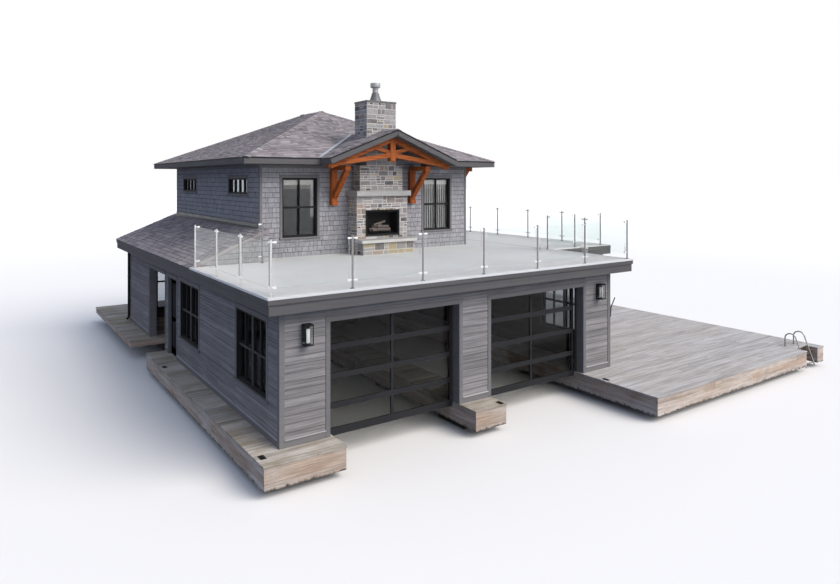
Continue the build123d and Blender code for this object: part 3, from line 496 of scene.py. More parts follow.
def glass_finish(name, tint, index):
    finish, t, surface = new_finish(name, Roughness=0.01, Transmission_Weight=1.0, IOR=index)
    worn = t.use(WEATHER, Size=1.5, Speckle_Size=30.0)
    second = (tint[0] * 0.93, tint[1] * 0.96, tint[2] * 0.95)
    t.wire(surface["Base Color"], t.stain(tint, worn["Patches"], 0.25, second))
    return finish


def timber_finish(name, stretch):
    """Oiled heavy timber, its grain along the piece."""
    finish, t, surface = new_finish(name, Roughness=0.55, Specular_IOR_Level=0.15)
    island = t.island()
    line = t.add("VectorMath", {0: t.place(), 1: stretch}, operation="MULTIPLY")[0]
    moved = t.add("VectorMath", {0: line, 1: t.merge(t.times(island, 51.0), t.times(island, 23.0))},
                  operation="ADD")[0]
    mask = t.between(t.noise(moved, 1.0, 6.0, 0.62, 0.6), 0.34, 0.68)
    colour = t.blend(mask, (0.43, 0.118, 0.028), (0.19, 0.045, 0.011))
    tone = t.between(island, 0.0, 1.0, 0.85, 1.15)
    t.wire(surface["Base Color"], t.add("HueSaturation", {"Color": colour, "Value": tone})[0])
    t.wire(surface["Roughness"], t.between(mask, 0.0, 1.0, 0.5, 0.65))
    t.bump(surface, mask, 0.0015)
    return finish


def lined_wall_finish(depth_in=0.04):
    """Dark felt behind the shingles outside, pale paint on the faces inside the cabin."""
    finish, t, surface = new_finish("lined_cabin_wall", Roughness=0.85, Specular_IOR_Level=0.1)
    place = t.place()
    spot, inside = t.split(place), 1.0
    for axis in (0, 1):
        low, high = (edge + HOUSE[axis] for edge in CABIN[2 * axis:2 * axis + 2])
        inside = t.times(inside, t.maths("GREATER_THAN", spot[axis], low + depth_in))
        inside = t.times(inside, t.maths("LESS_THAN", spot[axis], high - depth_in))
    cloudy = t.noise(place, 3.0, 4.0)
    felt, paint = (t.blend(t.between(cloudy, 0.35, 0.65), *shades) for shades in (
        ((0.045, 0.044, 0.046), (0.03, 0.03, 0.032)), ((0.66, 0.645, 0.62), (0.58, 0.565, 0.54))))
    t.wire(surface["Base Color"], t.blend(inside, felt, paint))
    t.bump(surface, cloudy, 0.001)
    return finish


WORN_LEDGE = board_finish("worn_ledge", (0.50, 0.49, 0.50), (0.40, 0.39, 0.40), (0.22, 0.21, 0.21),
                          length=0.6, fineness=18.0, spread=0.2, streaks=0.4, depth=0.0008)
DECKING = board_finish("weathered_decking", (0.62, 0.61, 0.61), (0.50, 0.465, 0.43), (0.19, 0.155, 0.13),
                       length=0.8, fineness=15.0, spread=0.26, streaks=0.6, knots=0.5, patches=0.5,
                       patch_size=0.55, depth=0.0025, roughness=0.88)
# Decking for the docks in the house's shade: brown, mossy and wet patches, and a lighter main colour that is
# painted light lifting the shade.
SHADE_LIFTED_DECKING = board_finish("mossy_decking_with_painted_light", (0.69, 0.65, 0.60), (0.42, 0.365, 0.285), (0.18, 0.14, 0.10),
                             length=0.8, fineness=13.0, spread=0.4, streaks=0.6, knots=0.7, patches=0.7,
                             patch_size=1.1, depth=0.0025, roughness=0.88)
FACING = board_finish("weathered_facing", (0.75, 0.70, 0.645), (0.56, 0.385, 0.265), (0.20, 0.13, 0.085),
                      length=1.3, fineness=18.0, spread=0.36, streaks=0.55, knots=1.0, patches=0.42,
                      patch_size=1.3, splash=(0.20, 0.15), depth=0.003, roughness=0.85)
JOISTS = board_finish("dock_framing", (0.10, 0.08, 0.06), (0.07, 0.06, 0.05), (0.02, 0.018, 0.015))
CRIBS = board_finish("wet_cribs", (0.09, 0.075, 0.055), (0.06, 0.055, 0.045), (0.02, 0.02, 0.016),
                     length=0.8, fineness=9.0, streaks=0.7, depth=0.008, roughness=0.6)
# The siding and the shingle siding carry painted shade under each course lap, at strengths 0.6 and 1.0.
SIDING = board_finish("grey_siding", (0.37, 0.35, 0.346), (0.27, 0.256, 0.254), (0.105, 0.10, 0.10),
                      fineness=26.0, spread=0.34, streaks=0.68, knots=0.6, patches=0.5,
                      courses=(HOUSE.z + SIDING_FOOT, SIDING_EXPOSURE, 0.6), depth=0.002, roughness=0.85)
SHINGLES = board_finish("grey_shingle_siding", (0.40, 0.39, 0.41), (0.32, 0.312, 0.328),
                        (0.14, 0.136, 0.145), length=11.0, fineness=8.0, spread=0.24, streaks=0.45,
                        patch_size=1.2, courses=(HOUSE.z + TERRACE, SHINGLE_EXPOSURE, 1.0), depth=0.002,
                        roughness=0.88)
TRIM = board_finish("grey_trim", (0.20, 0.192, 0.192), (0.17, 0.163, 0.165), (0.10, 0.096, 0.098),
                    length=0.6, fineness=18.0, spread=0.2, streaks=0.3, depth=0.0008)
FASCIA = board_finish("dark_fascia", (0.128, 0.122, 0.122), (0.105, 0.10, 0.10), (0.06, 0.058, 0.06),
                      length=0.6, fineness=18.0, spread=0.15, streaks=0.35, depth=0.0008)
SOFFITS = board_finish("soffit_boards", (0.12, 0.117, 0.115), (0.10, 0.098, 0.10), (0.05, 0.05, 0.05),
                       length=0.6, fineness=14.0, spread=0.15, depth=0.001)
INSIDE = board_finish("inside_boards", (0.10, 0.085, 0.07), (0.08, 0.068, 0.055), (0.035, 0.03, 0.025),
                      length=0.6, fineness=12.0, roughness=0.85)
LINED_WALL = lined_wall_finish()
ROOFING = mottled_finish("mottled_shingles", (
    (0.0, (0.15, 0.135, 0.14)), (0.22, (0.27, 0.24, 0.245)), (0.45, (0.36, 0.315, 0.31)),
    (0.62, (0.21, 0.19, 0.20)), (0.82, (0.34, 0.305, 0.315)), (1.0, (0.45, 0.40, 0.405))), "LINEAR",
    (0.7, 170.0), (0.3, (0.33, 0.295, 0.30)), (0.4, (0.17, 0.155, 0.16)), 0.0, 0.0014,
    Roughness=0.95, Specular_IOR_Level=0.1)
STONE = mottled_finish("ledge_stone", (
    (0.0, (0.33, 0.31, 0.30)), (0.16, (0.23, 0.215, 0.21)), (0.30, (0.42, 0.395, 0.38)),
    (0.40, (0.17, 0.155, 0.15)), (0.50, (0.43, 0.345, 0.20)), (0.57, (0.31, 0.285, 0.275)),
    (0.66, (0.36, 0.265, 0.20)), (0.74, (0.36, 0.34, 0.33)), (0.83, (0.24, 0.20, 0.175)),
    (0.92, (0.09, 0.085, 0.086))), "CONSTANT",
    (7.0, 48.0), (0.35, (0.42, 0.40, 0.38)), (0.3, (0.11, 0.10, 0.10)), 1.5, 0.004,
    Roughness=0.9, Specular_IOR_Level=0.15)
MORTAR = plain_finish("pale_mortar", (0.60, 0.575, 0.55), (0.47, 0.45, 0.43), (0.28, 0.265, 0.25),
                      patch_size=3.0, speckle_size=120.0, depth=0.002, Roughness=0.95,
                      Specular_IOR_Level=0.2)
CUT_STONE = plain_finish("cut_slab", (0.39, 0.38, 0.37), (0.32, 0.31, 0.295), (0.24, 0.23, 0.22),
                         patch_size=4.0, speckle_size=70.0, depth=0.003, Roughness=0.85,
                         Specular_IOR_Level=0.25)
TERRACE_FLOOR = plain_finish("pale_terrace", (0.58, 0.57, 0.56), (0.515, 0.505, 0.50), (0.42, 0.41, 0.405),
                             patch_size=0.8, speckle_size=140.0, patches=0.55, speckles=0.28,
                             depth=0.0006, Roughness=0.88, Specular_IOR_Level=0.2)
EDGE_METAL = plain_finish("white_edge_metal", (0.66, 0.66, 0.66), (0.58, 0.58, 0.58), (0.42, 0.42, 0.41),
                          speckles=0.2, depth=0.0003, Roughness=0.5)
STEEL = plain_finish("satin_steel", (0.30, 0.30, 0.305), (0.24, 0.24, 0.245), (0.16, 0.16, 0.16),
                     patch_size=5.0, speckle_size=260.0, speckles=0.2, depth=0.0002, Metallic=1.0,
                     Roughness=0.28)
# A lighter copy of the satin steel: its extra brightness is a painted sheen for the posts on the left.
PAINTED_SHEEN_STEEL = plain_finish("steel_with_painted_sheen", (0.66, 0.66, 0.66), (0.58, 0.58, 0.58), (0.44, 0.44, 0.44),
                            patch_size=5.0, speckle_size=260.0, speckles=0.2, depth=0.0002, Metallic=1.0,
                            Roughness=0.3)
POLISHED = plain_finish("polished_clips", (0.86, 0.86, 0.86), (0.78, 0.78, 0.78), (0.60, 0.60, 0.60),
                        patch_size=5.0, speckle_size=200.0, speckles=0.15, depth=0.0002, Metallic=1.0,
                        Roughness=0.3)
FLUE_METAL = plain_finish("flue_metal", (0.40, 0.40, 0.405), (0.32, 0.32, 0.325), (0.20, 0.195, 0.19),
                          patch_size=6.0, depth=0.0004, Metallic=0.35, Roughness=0.55,
                          Specular_IOR_Level=0.2)
SKIRT_METAL = plain_finish("skirt_metal", (0.18, 0.18, 0.19), (0.13, 0.13, 0.14), (0.07, 0.07, 0.075),
                           patch_size=5.0, depth=0.0004, Metallic=0.35, Roughness=0.5,
                           Specular_IOR_Level=0.15)
DARK_METAL = plain_finish("dark_sheet_metal", (0.10, 0.10, 0.105), (0.075, 0.075, 0.08),
                          (0.04, 0.04, 0.04), patch_size=4.0, depth=0.0004, Metallic=0.3, Roughness=0.5)
FLASHING = plain_finish("valley_metal", (0.36, 0.38, 0.43), (0.30, 0.32, 0.36), (0.20, 0.21, 0.23),
                        patch_size=3.0, depth=0.0004, Metallic=0.2, Roughness=0.6)
BLACK_FRAMES = plain_finish("black_frames", (0.020, 0.020, 0.022), (0.028, 0.028, 0.030),
                            (0.014, 0.014, 0.014), depth=0.0003, Roughness=0.6, Specular_IOR_Level=0.08)
BRONZE = plain_finish("bronze_door_metal", (0.026, 0.026, 0.028), (0.020, 0.020, 0.022),
                      (0.013, 0.013, 0.014), patch_size=2.0, speckles=0.25, depth=0.0003, Roughness=0.5,
                      Specular_IOR_Level=0.12)
BLACK_STEEL = plain_finish("matt_black_steel", (0.016, 0.016, 0.016), (0.026, 0.025, 0.024),
                           (0.010, 0.009, 0.009), patch_size=5.0, depth=0.0006, Roughness=0.6,
                           Specular_IOR_Level=0.08)
RUBBER = plain_finish("black_rubber", (0.018, 0.018, 0.018), (0.028, 0.027, 0.026), (0.01, 0.01, 0.01),
                      depth=0.0006, Roughness=0.8)
DOOR_PAINT = plain_finish("dark_door_paint", (0.018, 0.019, 0.025), (0.014, 0.015, 0.020),
                          (0.010, 0.010, 0.013), patch_size=2.0, depth=0.0004, Roughness=0.75,
                          Specular_IOR_Level=0.03)
BLIND = plain_finish("pale_blind", (0.80, 0.80, 0.78), (0.72, 0.72, 0.70), (0.60, 0.60, 0.58),
                     patch_size=2.0, depth=0.0003, Roughness=0.8)
# Blinds that glow with painted daylight though no lamp is there, the near one brightly and the far one
# faintly.
PAINTED_GLOW_BLIND, FAINT_PAINTED_GLOW_BLIND = (
    plain_finish(name, (0.80, 0.81, 0.80), (0.72, 0.73, 0.73), (0.60, 0.61, 0.61), patch_size=2.0,
                 depth=0.0003, Roughness=0.8, Emission_Color=(0.85, 0.93, 1.0), Emission_Strength=glow)
    for name, glow in (("blind_with_painted_glow", 0.5), ("blind_with_faint_painted_glow", 0.17)))
CLEAR_GLASS = glass_finish("clear_glass", (0.90, 0.93, 0.93), 1.2)
RAIL_GLASS = glass_finish("rail_glass", (0.955, 0.975, 0.965), 1.12)
BOAT_GLASS = glass_finish("boat_door_glass", (0.56, 0.57, 0.56), 1.2)
WINDOW_GLASS = glass_finish("window_glass", (0.42, 0.45, 0.48), 1.12)
CABIN_GLASS = glass_finish("cabin_window_glass", (0.84, 0.85, 0.86), 1.45)
OPAL = plain_finish("opal_lantern_tube", (0.74, 0.74, 0.73), (0.64, 0.64, 0.63), (0.52, 0.52, 0.51),
                    speckles=0.15, depth=0.0002, Roughness=0.3)
LEVEL_TIMBER = timber_finish("oiled_level_timber", (1.1, 22.0, 22.0))
UPRIGHT_TIMBER = timber_finish("oiled_upright_timber", (22.0, 22.0, 1.1))
LOG_BARK = plain_finish("split_logs", (0.17, 0.135, 0.115), (0.30, 0.26, 0.23), (0.04, 0.032, 0.028),
                        patch_size=12.0, speckle_size=60.0, speckles=0.6, depth=0.006, Roughness=0.9)


# Docks

def board_ends(rng, start, end, stock=(2.44, 3.05, 3.66, 4.27)):
    """Ends of the boards that fill one run, cut from stock lengths."""
    stops = [start]
    while end - stops[-1] > max(stock) + 0.6:
        stops.append(stops[-1] + rng.choice(stock))
    return list(zip(stops, stops[1:] + [end]))


def plank_boxes(rng, start, end, spans_at):
    """Deck planks from front to back, each row cut to the spans at its place."""
    rows = round((end - start) / PLANK)
    pitch = (end - start) / rows
    boxes = []
    for row in range(rows):
        near = start + row * pitch
        for span in spans_at(near + pitch / 2):
            for first, last in board_ends(rng, *span):
                skew = rng.uniform(0, PLANK_GAP / 2)
                boxes.append(((first, near + skew, -PLANK_THICKNESS),
                              (last - END_GAP, near + pitch - PLANK_GAP + skew, -rng.uniform(0, 0.003))))
    return boxes


def facing_boxes(rng, plans, depth, rows):
    """Facing boards on edge, in rows one under the other, along each line of a plan."""
    boxes = []
    pitch = (depth - PLANK_THICKNESS) / rows
    for row in range(rows):
        top = -PLANK_THICKNESS - row * pitch - 0.002
        bottom = top - pitch + 0.005
        for left, right, near, far in plans:
            if right - left > far - near:
                boards = [(a, b - END_GAP, near, far) for a, b in board_ends(rng, left, right)]
            else:
                boards = [(left, right, a, b - END_GAP) for a, b in board_ends(rng, near, far)]
            boxes += level_boxes(boards, bottom, top)
    return boxes


def joist_boxes(left, right, near, far, depth):
    count = round((far - near) / JOIST_SPACING)
    step = (far - near) / count
    plans = [(left + JOIST_INSET, right - JOIST_INSET, near + number * step - JOIST / 2,
              near + number * step + JOIST / 2) for number in range(1, count)]
    plans += [(x, x + JOIST, near + JOIST_INSET, far - JOIST_INSET)
              for x in (left + JOIST_INSET, (left + right) / 2, right - JOIST_INSET - JOIST)]
    return level_boxes(plans, JOIST_LIFT - depth, -PLANK_THICKNESS)


def inside_nosing(edges):
    left, right, near, far = edges
    return left + NOSING, right - NOSING, near + NOSING, far - NOSING


def ring_plan(edges, thick=FACING_THICKNESS):
    """Plan of boards round a rectangle, the front and back ones running full width."""
    left, right, near, far = inside_nosing(edges)
    return [(left, right, near, near + thick), (left, right, far - thick, far),
            (left, left + thick, near + thick, far - thick),
            (right - thick, right, near + thick, far - thick)]


def left_dock_plan(thick=FACING_THICKNESS):
    left, right, near, far = inside_nosing(LEFT_DOCK)
    lip_right, lip_back = LIP_RIGHT - NOSING, LIP_BACK - NOSING
    return [(left, lip_right, near, near + thick), (left, left + thick, near + thick, far - thick),
            (lip_right - thick, lip_right, near + thick, lip_back),
            (right - thick, right, lip_back - thick, far - thick), (left, right, far - thick, far)]


def right_dock_plan(thick=FACING_THICKNESS):
    left, right, near, far = inside_nosing(RIGHT_DOCK)
    slot_left, slot_right, slot_back = SLOT_LEFT - NOSING, SLOT_RIGHT + NOSING, SLOT_BACK + NOSING
    return [(left, slot_left, near, near + thick), (slot_right, right, near, near + thick),
            (slot_left - thick, slot_left, near + thick, slot_back),
            (slot_left - thick, slot_right + thick, slot_back, slot_back + thick),
            (slot_right, slot_right + thick, near + thick, slot_back),
            (left, right, far - thick, far), (left, left + thick, near + thick, far - thick),
            (right - thick, right, near + thick, far - thick)]


def left_dock_spans(y):
    return [(LEFT_DOCK[0], LIP_RIGHT if y < LIP_BACK else LEFT_DOCK[1])]


def right_dock_spans(y):
    if y < SLOT_BACK:
        return [(RIGHT_DOCK[0], SLOT_LEFT), (SLOT_RIGHT, RIGHT_DOCK[1])]
    return [RIGHT_DOCK[:2]]


def make_dock(name, edges, depth, rows, seed, plans, spans_at, finish):
    rng = random.Random(seed)
    build(f"{name}_planks", blocks(plank_boxes(rng, *edges[2:], spans_at)), finish, "dock_timber",
          ease=0.004, stands_for=[name])
    build(f"{name}_facing", blocks(facing_boxes(rng, plans, depth, rows)), FACING, "dock_timber", ease=0.004)
    build(f"{name}_joists", blocks(joist_boxes(*edges, depth)), JOISTS, "crib_timber")


# The left, centre and rear docks lie in the house's shade and take the decking with painted light; the sunlit
# right dock takes the plain decking.
make_dock("left_dock", LEFT_DOCK, DOCK_DEPTH, 3, 11, left_dock_plan(), left_dock_spans, SHADE_LIFTED_DECKING)
make_dock("centre_dock", CENTRE_DOCK, DOCK_DEPTH, 3, 12, ring_plan(CENTRE_DOCK),
          lambda y: [CENTRE_DOCK[:2]], SHADE_LIFTED_DECKING)
make_dock("right_dock", RIGHT_DOCK, DOCK_DEPTH, 3, 13, right_dock_plan(), right_dock_spans, DECKING)
make_dock("rear_dock", REAR_DOCK, REAR_DOCK_DEPTH, 1, 14, ring_plan(REAR_DOCK),
          lambda y: [REAR_DOCK[:2]], SHADE_LIFTED_DECKING)


def flush_cleats():
    """Cleats let into the docks: a steel plate with a pocket and a bar across it."""
    parts = []
    for x, y in ((-0.424, -0.169), (-0.468, 6.96), (5.19, -0.46), (8.62, -0.713)):
        parts += blocks([((x - 0.06, y - 0.10, -0.004), (x + 0.06, y + 0.10, 0.0005)),
                         ((x - 0.045, y - 0.08, -0.003), (x + 0.045, y + 0.08, 0.0012))])
        parts.append(rod((x, y - 0.075, 0.009), (x, y + 0.075, 0.009), 0.010))
    build("flush_cleats", parts, BLACK_STEEL, "black_steel")


flush_cleats()


# Lower walls

def from_other_end(spans, length):
    return [(length - end, length - start) for start, end in spans]


def holes(spans, sill, head):
    """Openings of one sill and head; a doorway has its sill at or below zero."""
    return [(start, end, sill, head) for start, end in spans]


# Each wall's frame, its length and its openings
LOWER_WALLS = {
    "front": (wall_frame(0, 0, 0), WIDTH, holes(BOAT_OPENINGS, -1, OPENING_HEAD)),
    "left": (wall_frame(0, DEPTH, -90), DEPTH,
             holes(from_other_end(SIDE_WINDOWS, DEPTH), WINDOW_SILL, WINDOW_HEAD)
             + holes(from_other_end((SIDE_DOOR, SIDE_SLIP), DEPTH), -1, SIDE_DOOR_HEAD)),
    "right": (wall_frame(WIDTH, 0, 90), DEPTH, holes(SIDE_WINDOWS, WINDOW_SILL, WINDOW_HEAD)),
    "rear": (wall_frame(WIDTH, DEPTH, 180), WIDTH,
             holes(REAR_SLIM_WINDOWS, REAR_SLIM_SILL, WINDOW_HEAD)
             + holes([REAR_WIDE_WINDOW], WINDOW_SILL, WINDOW_HEAD))}


def course_runs(start, end, low, high, openings):
    """Stretches of one course that the openings leave, with their own foot and head."""
    stops = sorted({start, end, *(x for opening in openings for x in opening[:2] if start < x < end)})
    runs = []
    for left, right in zip(stops, stops[1:]):
        foot, head = low, high
        for a, b, sill, lintel in openings:
            if a < right - 0.001 and b > left + 0.001:
                if sill <= low and lintel >= high:
                    head = foot
                elif low < lintel < high:
                    foot = max(foot, lintel)
                elif low < sill < high:
                    head = min(head, sill)
        if head - foot < 0.012:
            continue
        if runs and runs[-1][1] == left and runs[-1][2:] == (foot, head):
            runs[-1] = (runs[-1][0], right, foot, head)
        else:
            runs.append((left, right, foot, head))
    return runs


def widened(openings, casing=CASING_WIDTH):
    """Openings with the casing round them taken out of the cladding too."""
    return [(left - casing, right + casing, sill - (SILL_BOARD if sill > 0 else 0), head + casing)
            for left, right, sill, head in openings]


def courses(low, high, exposure):
    """Foot and head of each course; the top one is cut to fit."""
    count = math.ceil((high - low) / exposure - 0.05)
    return [(low + row * exposure, min(low + (row + 1) * exposure, high)) for row in range(count)]


def siding_boxes(rng, length, openings):
    boxes = []
    for foot, head in courses(SIDING_FOOT, CEILING, SIDING_EXPOSURE):
        for left, right, bottom, top in course_runs(CORNER_BOARD, length - CORNER_BOARD, foot, head,
                                                    widened(openings)):
            boxes += [((a, -SIDING_PROUD - rng.uniform(0, 0.002), bottom), (b - 0.002, 0.004, top + 0.004))
                      for a, b in board_ends(rng, left, right, (2.44, 3.66, 4.88))]
    return boxes


def window_rings(side, place, openings):
    """Black metal ring inside each window opening, almost flush with the casing."""
    boxes = []
    for left, right, sill, head in openings:
        if sill > 0:
            boxes += [((a, -RING_PROUD, low), (b, 0.04, high)) for a, b, low, high in (
                (left, left + RING, sill, head), (right - RING, right, sill, head),
                (left + RING, right - RING, sill, sill + RING),
                (left + RING, right - RING, head - RING, head))]
    if boxes:
        build(f"window_rings_{side}", blocks(boxes), BLACK_FRAMES, "window_black", place=place, ease=0.003)


def casing_boxes(openings, base, sill_reach=0.03, casing=CASING_WIDTH):
    """Flat boards round each opening, with a deeper sill board under a window."""
    boxes = []
    for left, right, sill, head in openings:
        foot, a, b = max(sill, base), left - casing, right + casing
        boxes += [((a, -CASING_PROUD, foot), (left, TUCK, head)),
                  ((right, -CASING_PROUD, foot), (b, TUCK, head)),
                  ((a, -CASING_PROUD, head), (b, TUCK, head + casing)),
                  ((a - 0.01, -CASING_PROUD - 0.015, head + casing), (b + 0.01, TUCK, head + casing + 0.02))]
        if sill > base:
            boxes.append(((a - sill_reach, -CASING_PROUD - 0.03, sill - SILL_BOARD),
                          (b + sill_reach, TUCK, sill)))
    return boxes


for number, (side, (place, length, openings)) in enumerate(LOWER_WALLS.items()):
    rng = random.Random(40 + number)
    build(f"siding_{side}", blocks(siding_boxes(rng, length, openings), LAP), SIDING, "siding", place=place,
          ease=0.002)
    reach = CASING_PROUD if side in ("front", "rear") else 0
    trim_boxes = casing_boxes(openings, 0.0)
    trim_boxes += [((-reach, -CASING_PROUD, 0), (CORNER_BOARD, TUCK, CEILING)),
                   ((length - CORNER_BOARD, -CASING_PROUD, 0), (length + reach, TUCK, CEILING))]
    ledges = []
    for left, right, _, _ in course_runs(CORNER_BOARD, length - CORNER_BOARD, 0, BASE_BOARD,
                                         widened(openings)):
        trim_boxes.append(((left, 0.004 - CASING_PROUD, 0), (right, TUCK, BASE_BOARD - LEDGE)))
        ledges.append(((left, -CASING_PROUD - 0.020, BASE_BOARD - LEDGE), (right, TUCK, BASE_BOARD)))
    build(f"trim_{side}", blocks(trim_boxes), TRIM, "trim_boards", place=place, ease=0.003)
    build(f"base_ledge_{side}", blocks(ledges), WORN_LEDGE, "trim_boards", place=place)
    window_rings(side, place, openings)


def opening_liners():
    """Boards that line the boat openings and the side slip through the wall."""
    boxes = []
    for left, right in BOAT_OPENINGS:
        boxes += [((a, -0.02, low), (b, WALL, OPENING_HEAD)) for a, b, low in (
            (left, left + LINER, 0), (right - LINER, right, 0), (left, right, OPENING_HEAD - LINER))]
    near, far = SIDE_SLIP
    boxes += [((-0.02, a, low), (WALL, b, SIDE_DOOR_HEAD)) for a, b, low in (
        (near, near + LINER, 0), (far - LINER, far, 0), (near, far, SIDE_DOOR_HEAD - LINER))]
    build("opening_liners", blocks(boxes), TRIM, "trim_boards", ease=0.003)


opening_liners()


# Terrace and guard rail

def terrace_edging(lip=0.008, wide=0.07, deck_wide=0.06, thick=0.012, hang=0.035):
    """White metal edging round the terrace and side deck, with a lip over the fascia."""
    left, right, near, far = TERRACE_EDGES
    a, b, c, d = SIDE_DECK
    skirt = SKIRT[2] - 0.02
    flat = [(left - lip, right + lip, near - lip, near + wide),
            (left - lip, right + lip, far - wide, far + lip),
            (left - lip, left + wide, near + wide, skirt), (right - wide, right + lip, near + wide, c),
            (right - wide, right + lip, d, far - wide)]
    hanging = [(left - lip, right + lip, near - lip, near), (left - lip, left, near, skirt),
               (right, right + lip, near, c), (left - lip, right + lip, far, far + lip)]
    deck = [(a, b, c, c + deck_wide), (a, b, d - deck_wide, d),
            (b - deck_wide, b, c + deck_wide, d - deck_wide)]
    boxes = (level_boxes(flat, TERRACE, TERRACE + thick) + level_boxes(hanging, TERRACE - hang, TERRACE)
             + level_boxes(deck, TERRACE, TERRACE + thick))
    build("terrace_edging", blocks(boxes), EDGE_METAL, "terrace_floor", ease=0.003)


def side_deck_facing():
    """Dark boards round the side deck, in two steps as on the terrace."""
    a, b, c, d = SIDE_DECK
    boxes = []
    for low, high, proud in ((-0.285, -0.13, 0.006), (-0.128, -0.012, 0.014)):
        boxes += level_boxes([(a, b + 0.004, c - proud, c + 0.01), (a, b + 0.004, d - 0.01, d + proud),
                              (b - 0.01, b + 0.004, c, d)], TERRACE + low, TERRACE + high)
    build("side_deck_facing", blocks(boxes), FASCIA, "trim_boards", ease=0.003)


def rail_lines():
    """Posts of each stretch of guard rail, in order along it."""
    first = -0.29
    front = [(first + number * RAIL_BAY, -0.26) for number in range(7)]
    left = [front[0]] + [(first, y) for y in (1.38, 2.95, 4.63)] + [(1.44, 4.63)]
    corner_x, side_x, side_y = front[-1][0], 12.57, 2.75
    middle_x = (corner_x + side_x) / 2
    right = [front[-1], (corner_x, 1.245), (corner_x, side_y), (middle_x, side_y), (side_x, side_y)]
    side = [(side_x, side_y + number * RAIL_BAY) for number in range(7)]
    side += [(x, side[-1][1]) for x in (middle_x, corner_x, 9.03)]
    return front, left, right, side


def post_parts(x, y):
    """Round steel post on a bolted flange, with a domed top."""
    parts = [rod((x, y, TERRACE + low), (x, y, TERRACE + high), radius) for low, high, radius in (
        (0, 0.010, 0.05), (0.010, 0.022, 0.03), (0.010, RAIL_HEIGHT - 0.012, 0.0215),
        (RAIL_HEIGHT - 0.012, RAIL_HEIGHT, 0.024))]
    for turn in (45, 135, 225, 315):
        bolt_x, bolt_y = x + 0.038 * math.cos(math.radians(turn)), y + 0.038 * math.sin(math.radians(turn))
        parts.append(rod((bolt_x, bolt_y, TERRACE + 0.01), (bolt_x, bolt_y, TERRACE + 0.017), 0.006, PEG))
    return parts


def clip_parts(here, there):
    """Round-nosed glass clips on the side of one post that faces the next."""
    parts = []
    run = Vector((there[0] - here[0], there[1] - here[1], 0)).normalized()
    across = Vector((-run.y, run.x, 0))
    for height in CLIP_HEIGHTS:
        middle = Vector((*here, TERRACE + height))
        parts.append(beam(middle + run * 0.018, middle + run * 0.072, across, 0.018, 0.024))
        for way in (-0.0115, 0.0115):
            parts.append(beam(middle + run * 0.058 + across * way, middle + run * 0.108 + across * way,
                              across, 0.009, 0.038))
        nose = middle + run * 0.092
        parts.append(rod(nose - across * 0.019, nose + across * 0.019, 0.008, PEG))
    return parts


def guard_rail():
    posts, left_posts, clips, seen = [], [], [], set()
    for line in rail_lines():
        for x, y in line:
            spot = (round(x, 3), round(y, 3))
            if spot not in seen:
                seen.add(spot)
                (left_posts if x < 0 else posts).extend(post_parts(x, y))
        for start, end in zip(line, line[1:]):
            clips += clip_parts(start, end) + clip_parts(end, start)
    # The left posts take the lighter steel as a painted highlight; the others keep the satin steel.
    for name, made, finish in (("posts", posts, STEEL), ("left_posts", left_posts, PAINTED_SHEEN_STEEL),
                               ("clips", clips, POLISHED)):
        build(f"guard_rail_{name}", made, finish, "railing_steel", ease=0.0015, smooth=35,
              stands_for=["railing_posts"])


terrace_edging()
side_deck_facing()
guard_rail()


# Cabin walls

def cabin_walls():
    """Each wall's frame, its length, its foot and its openings."""
    left, right, near, far = CABIN
    front = [(a - left, b - left) for a, b in CABIN_FRONT_WINDOWS]
    side = [(a - near, b - near) for a, b in (CABIN_SIDE_WINDOWS[1], PATIO_DOOR)]
    return {
        "cabin_front": (wall_frame(left, near, 0), right - left, TERRACE,
                        holes(front, CABIN_SILL, CABIN_HEAD)),
        "cabin_left": (wall_frame(left, far, -90), far - near, SKIRT_HEAD,
                       holes(from_other_end(CABIN_SIDE_WINDOWS, far), CABIN_HIGH_SILL, CABIN_HEAD)),
        "cabin_right": (wall_frame(right, near, 90), far - near, TERRACE,
                        holes(side[:1], CABIN_HIGH_SILL, CABIN_HEAD) + holes(side[1:], 0, CABIN_HEAD)),
        "cabin_rear": (wall_frame(right, far, 180), right - left, TERRACE,
                       holes(from_other_end(CABIN_FRONT_WINDOWS, right), CABIN_SILL, CABIN_HEAD))}


def shingle_boxes(rng, runs_at, low, high):
    """Shingles of mixed widths, course by course, along the runs at each height."""
    boxes = []
    for foot, head in courses(low, high, SHINGLE_EXPOSURE):
        for left, right, bottom, top in runs_at(foot, head):
            x = left
            while x < right - 0.001:
                end = min(right, x + rng.uniform(0.09, 0.21))
                if right - end < 0.05:
                    end = right
                boxes.append(((x, -rng.uniform(0.015, 0.020), bottom - rng.uniform(0, 0.004)),
                              (end - rng.uniform(0.006, 0.010), TUCK, top)))
                x = end
    return boxes


def gable_runs(low, high):
    half = (GABLE[1] - GABLE[0]) / 2 * (1 - (high - SOFFIT) / GABLE_RISE)
    middle = GABLE_MIDDLE - CABIN[0]
    return [(middle - half, middle + half, low, high)]


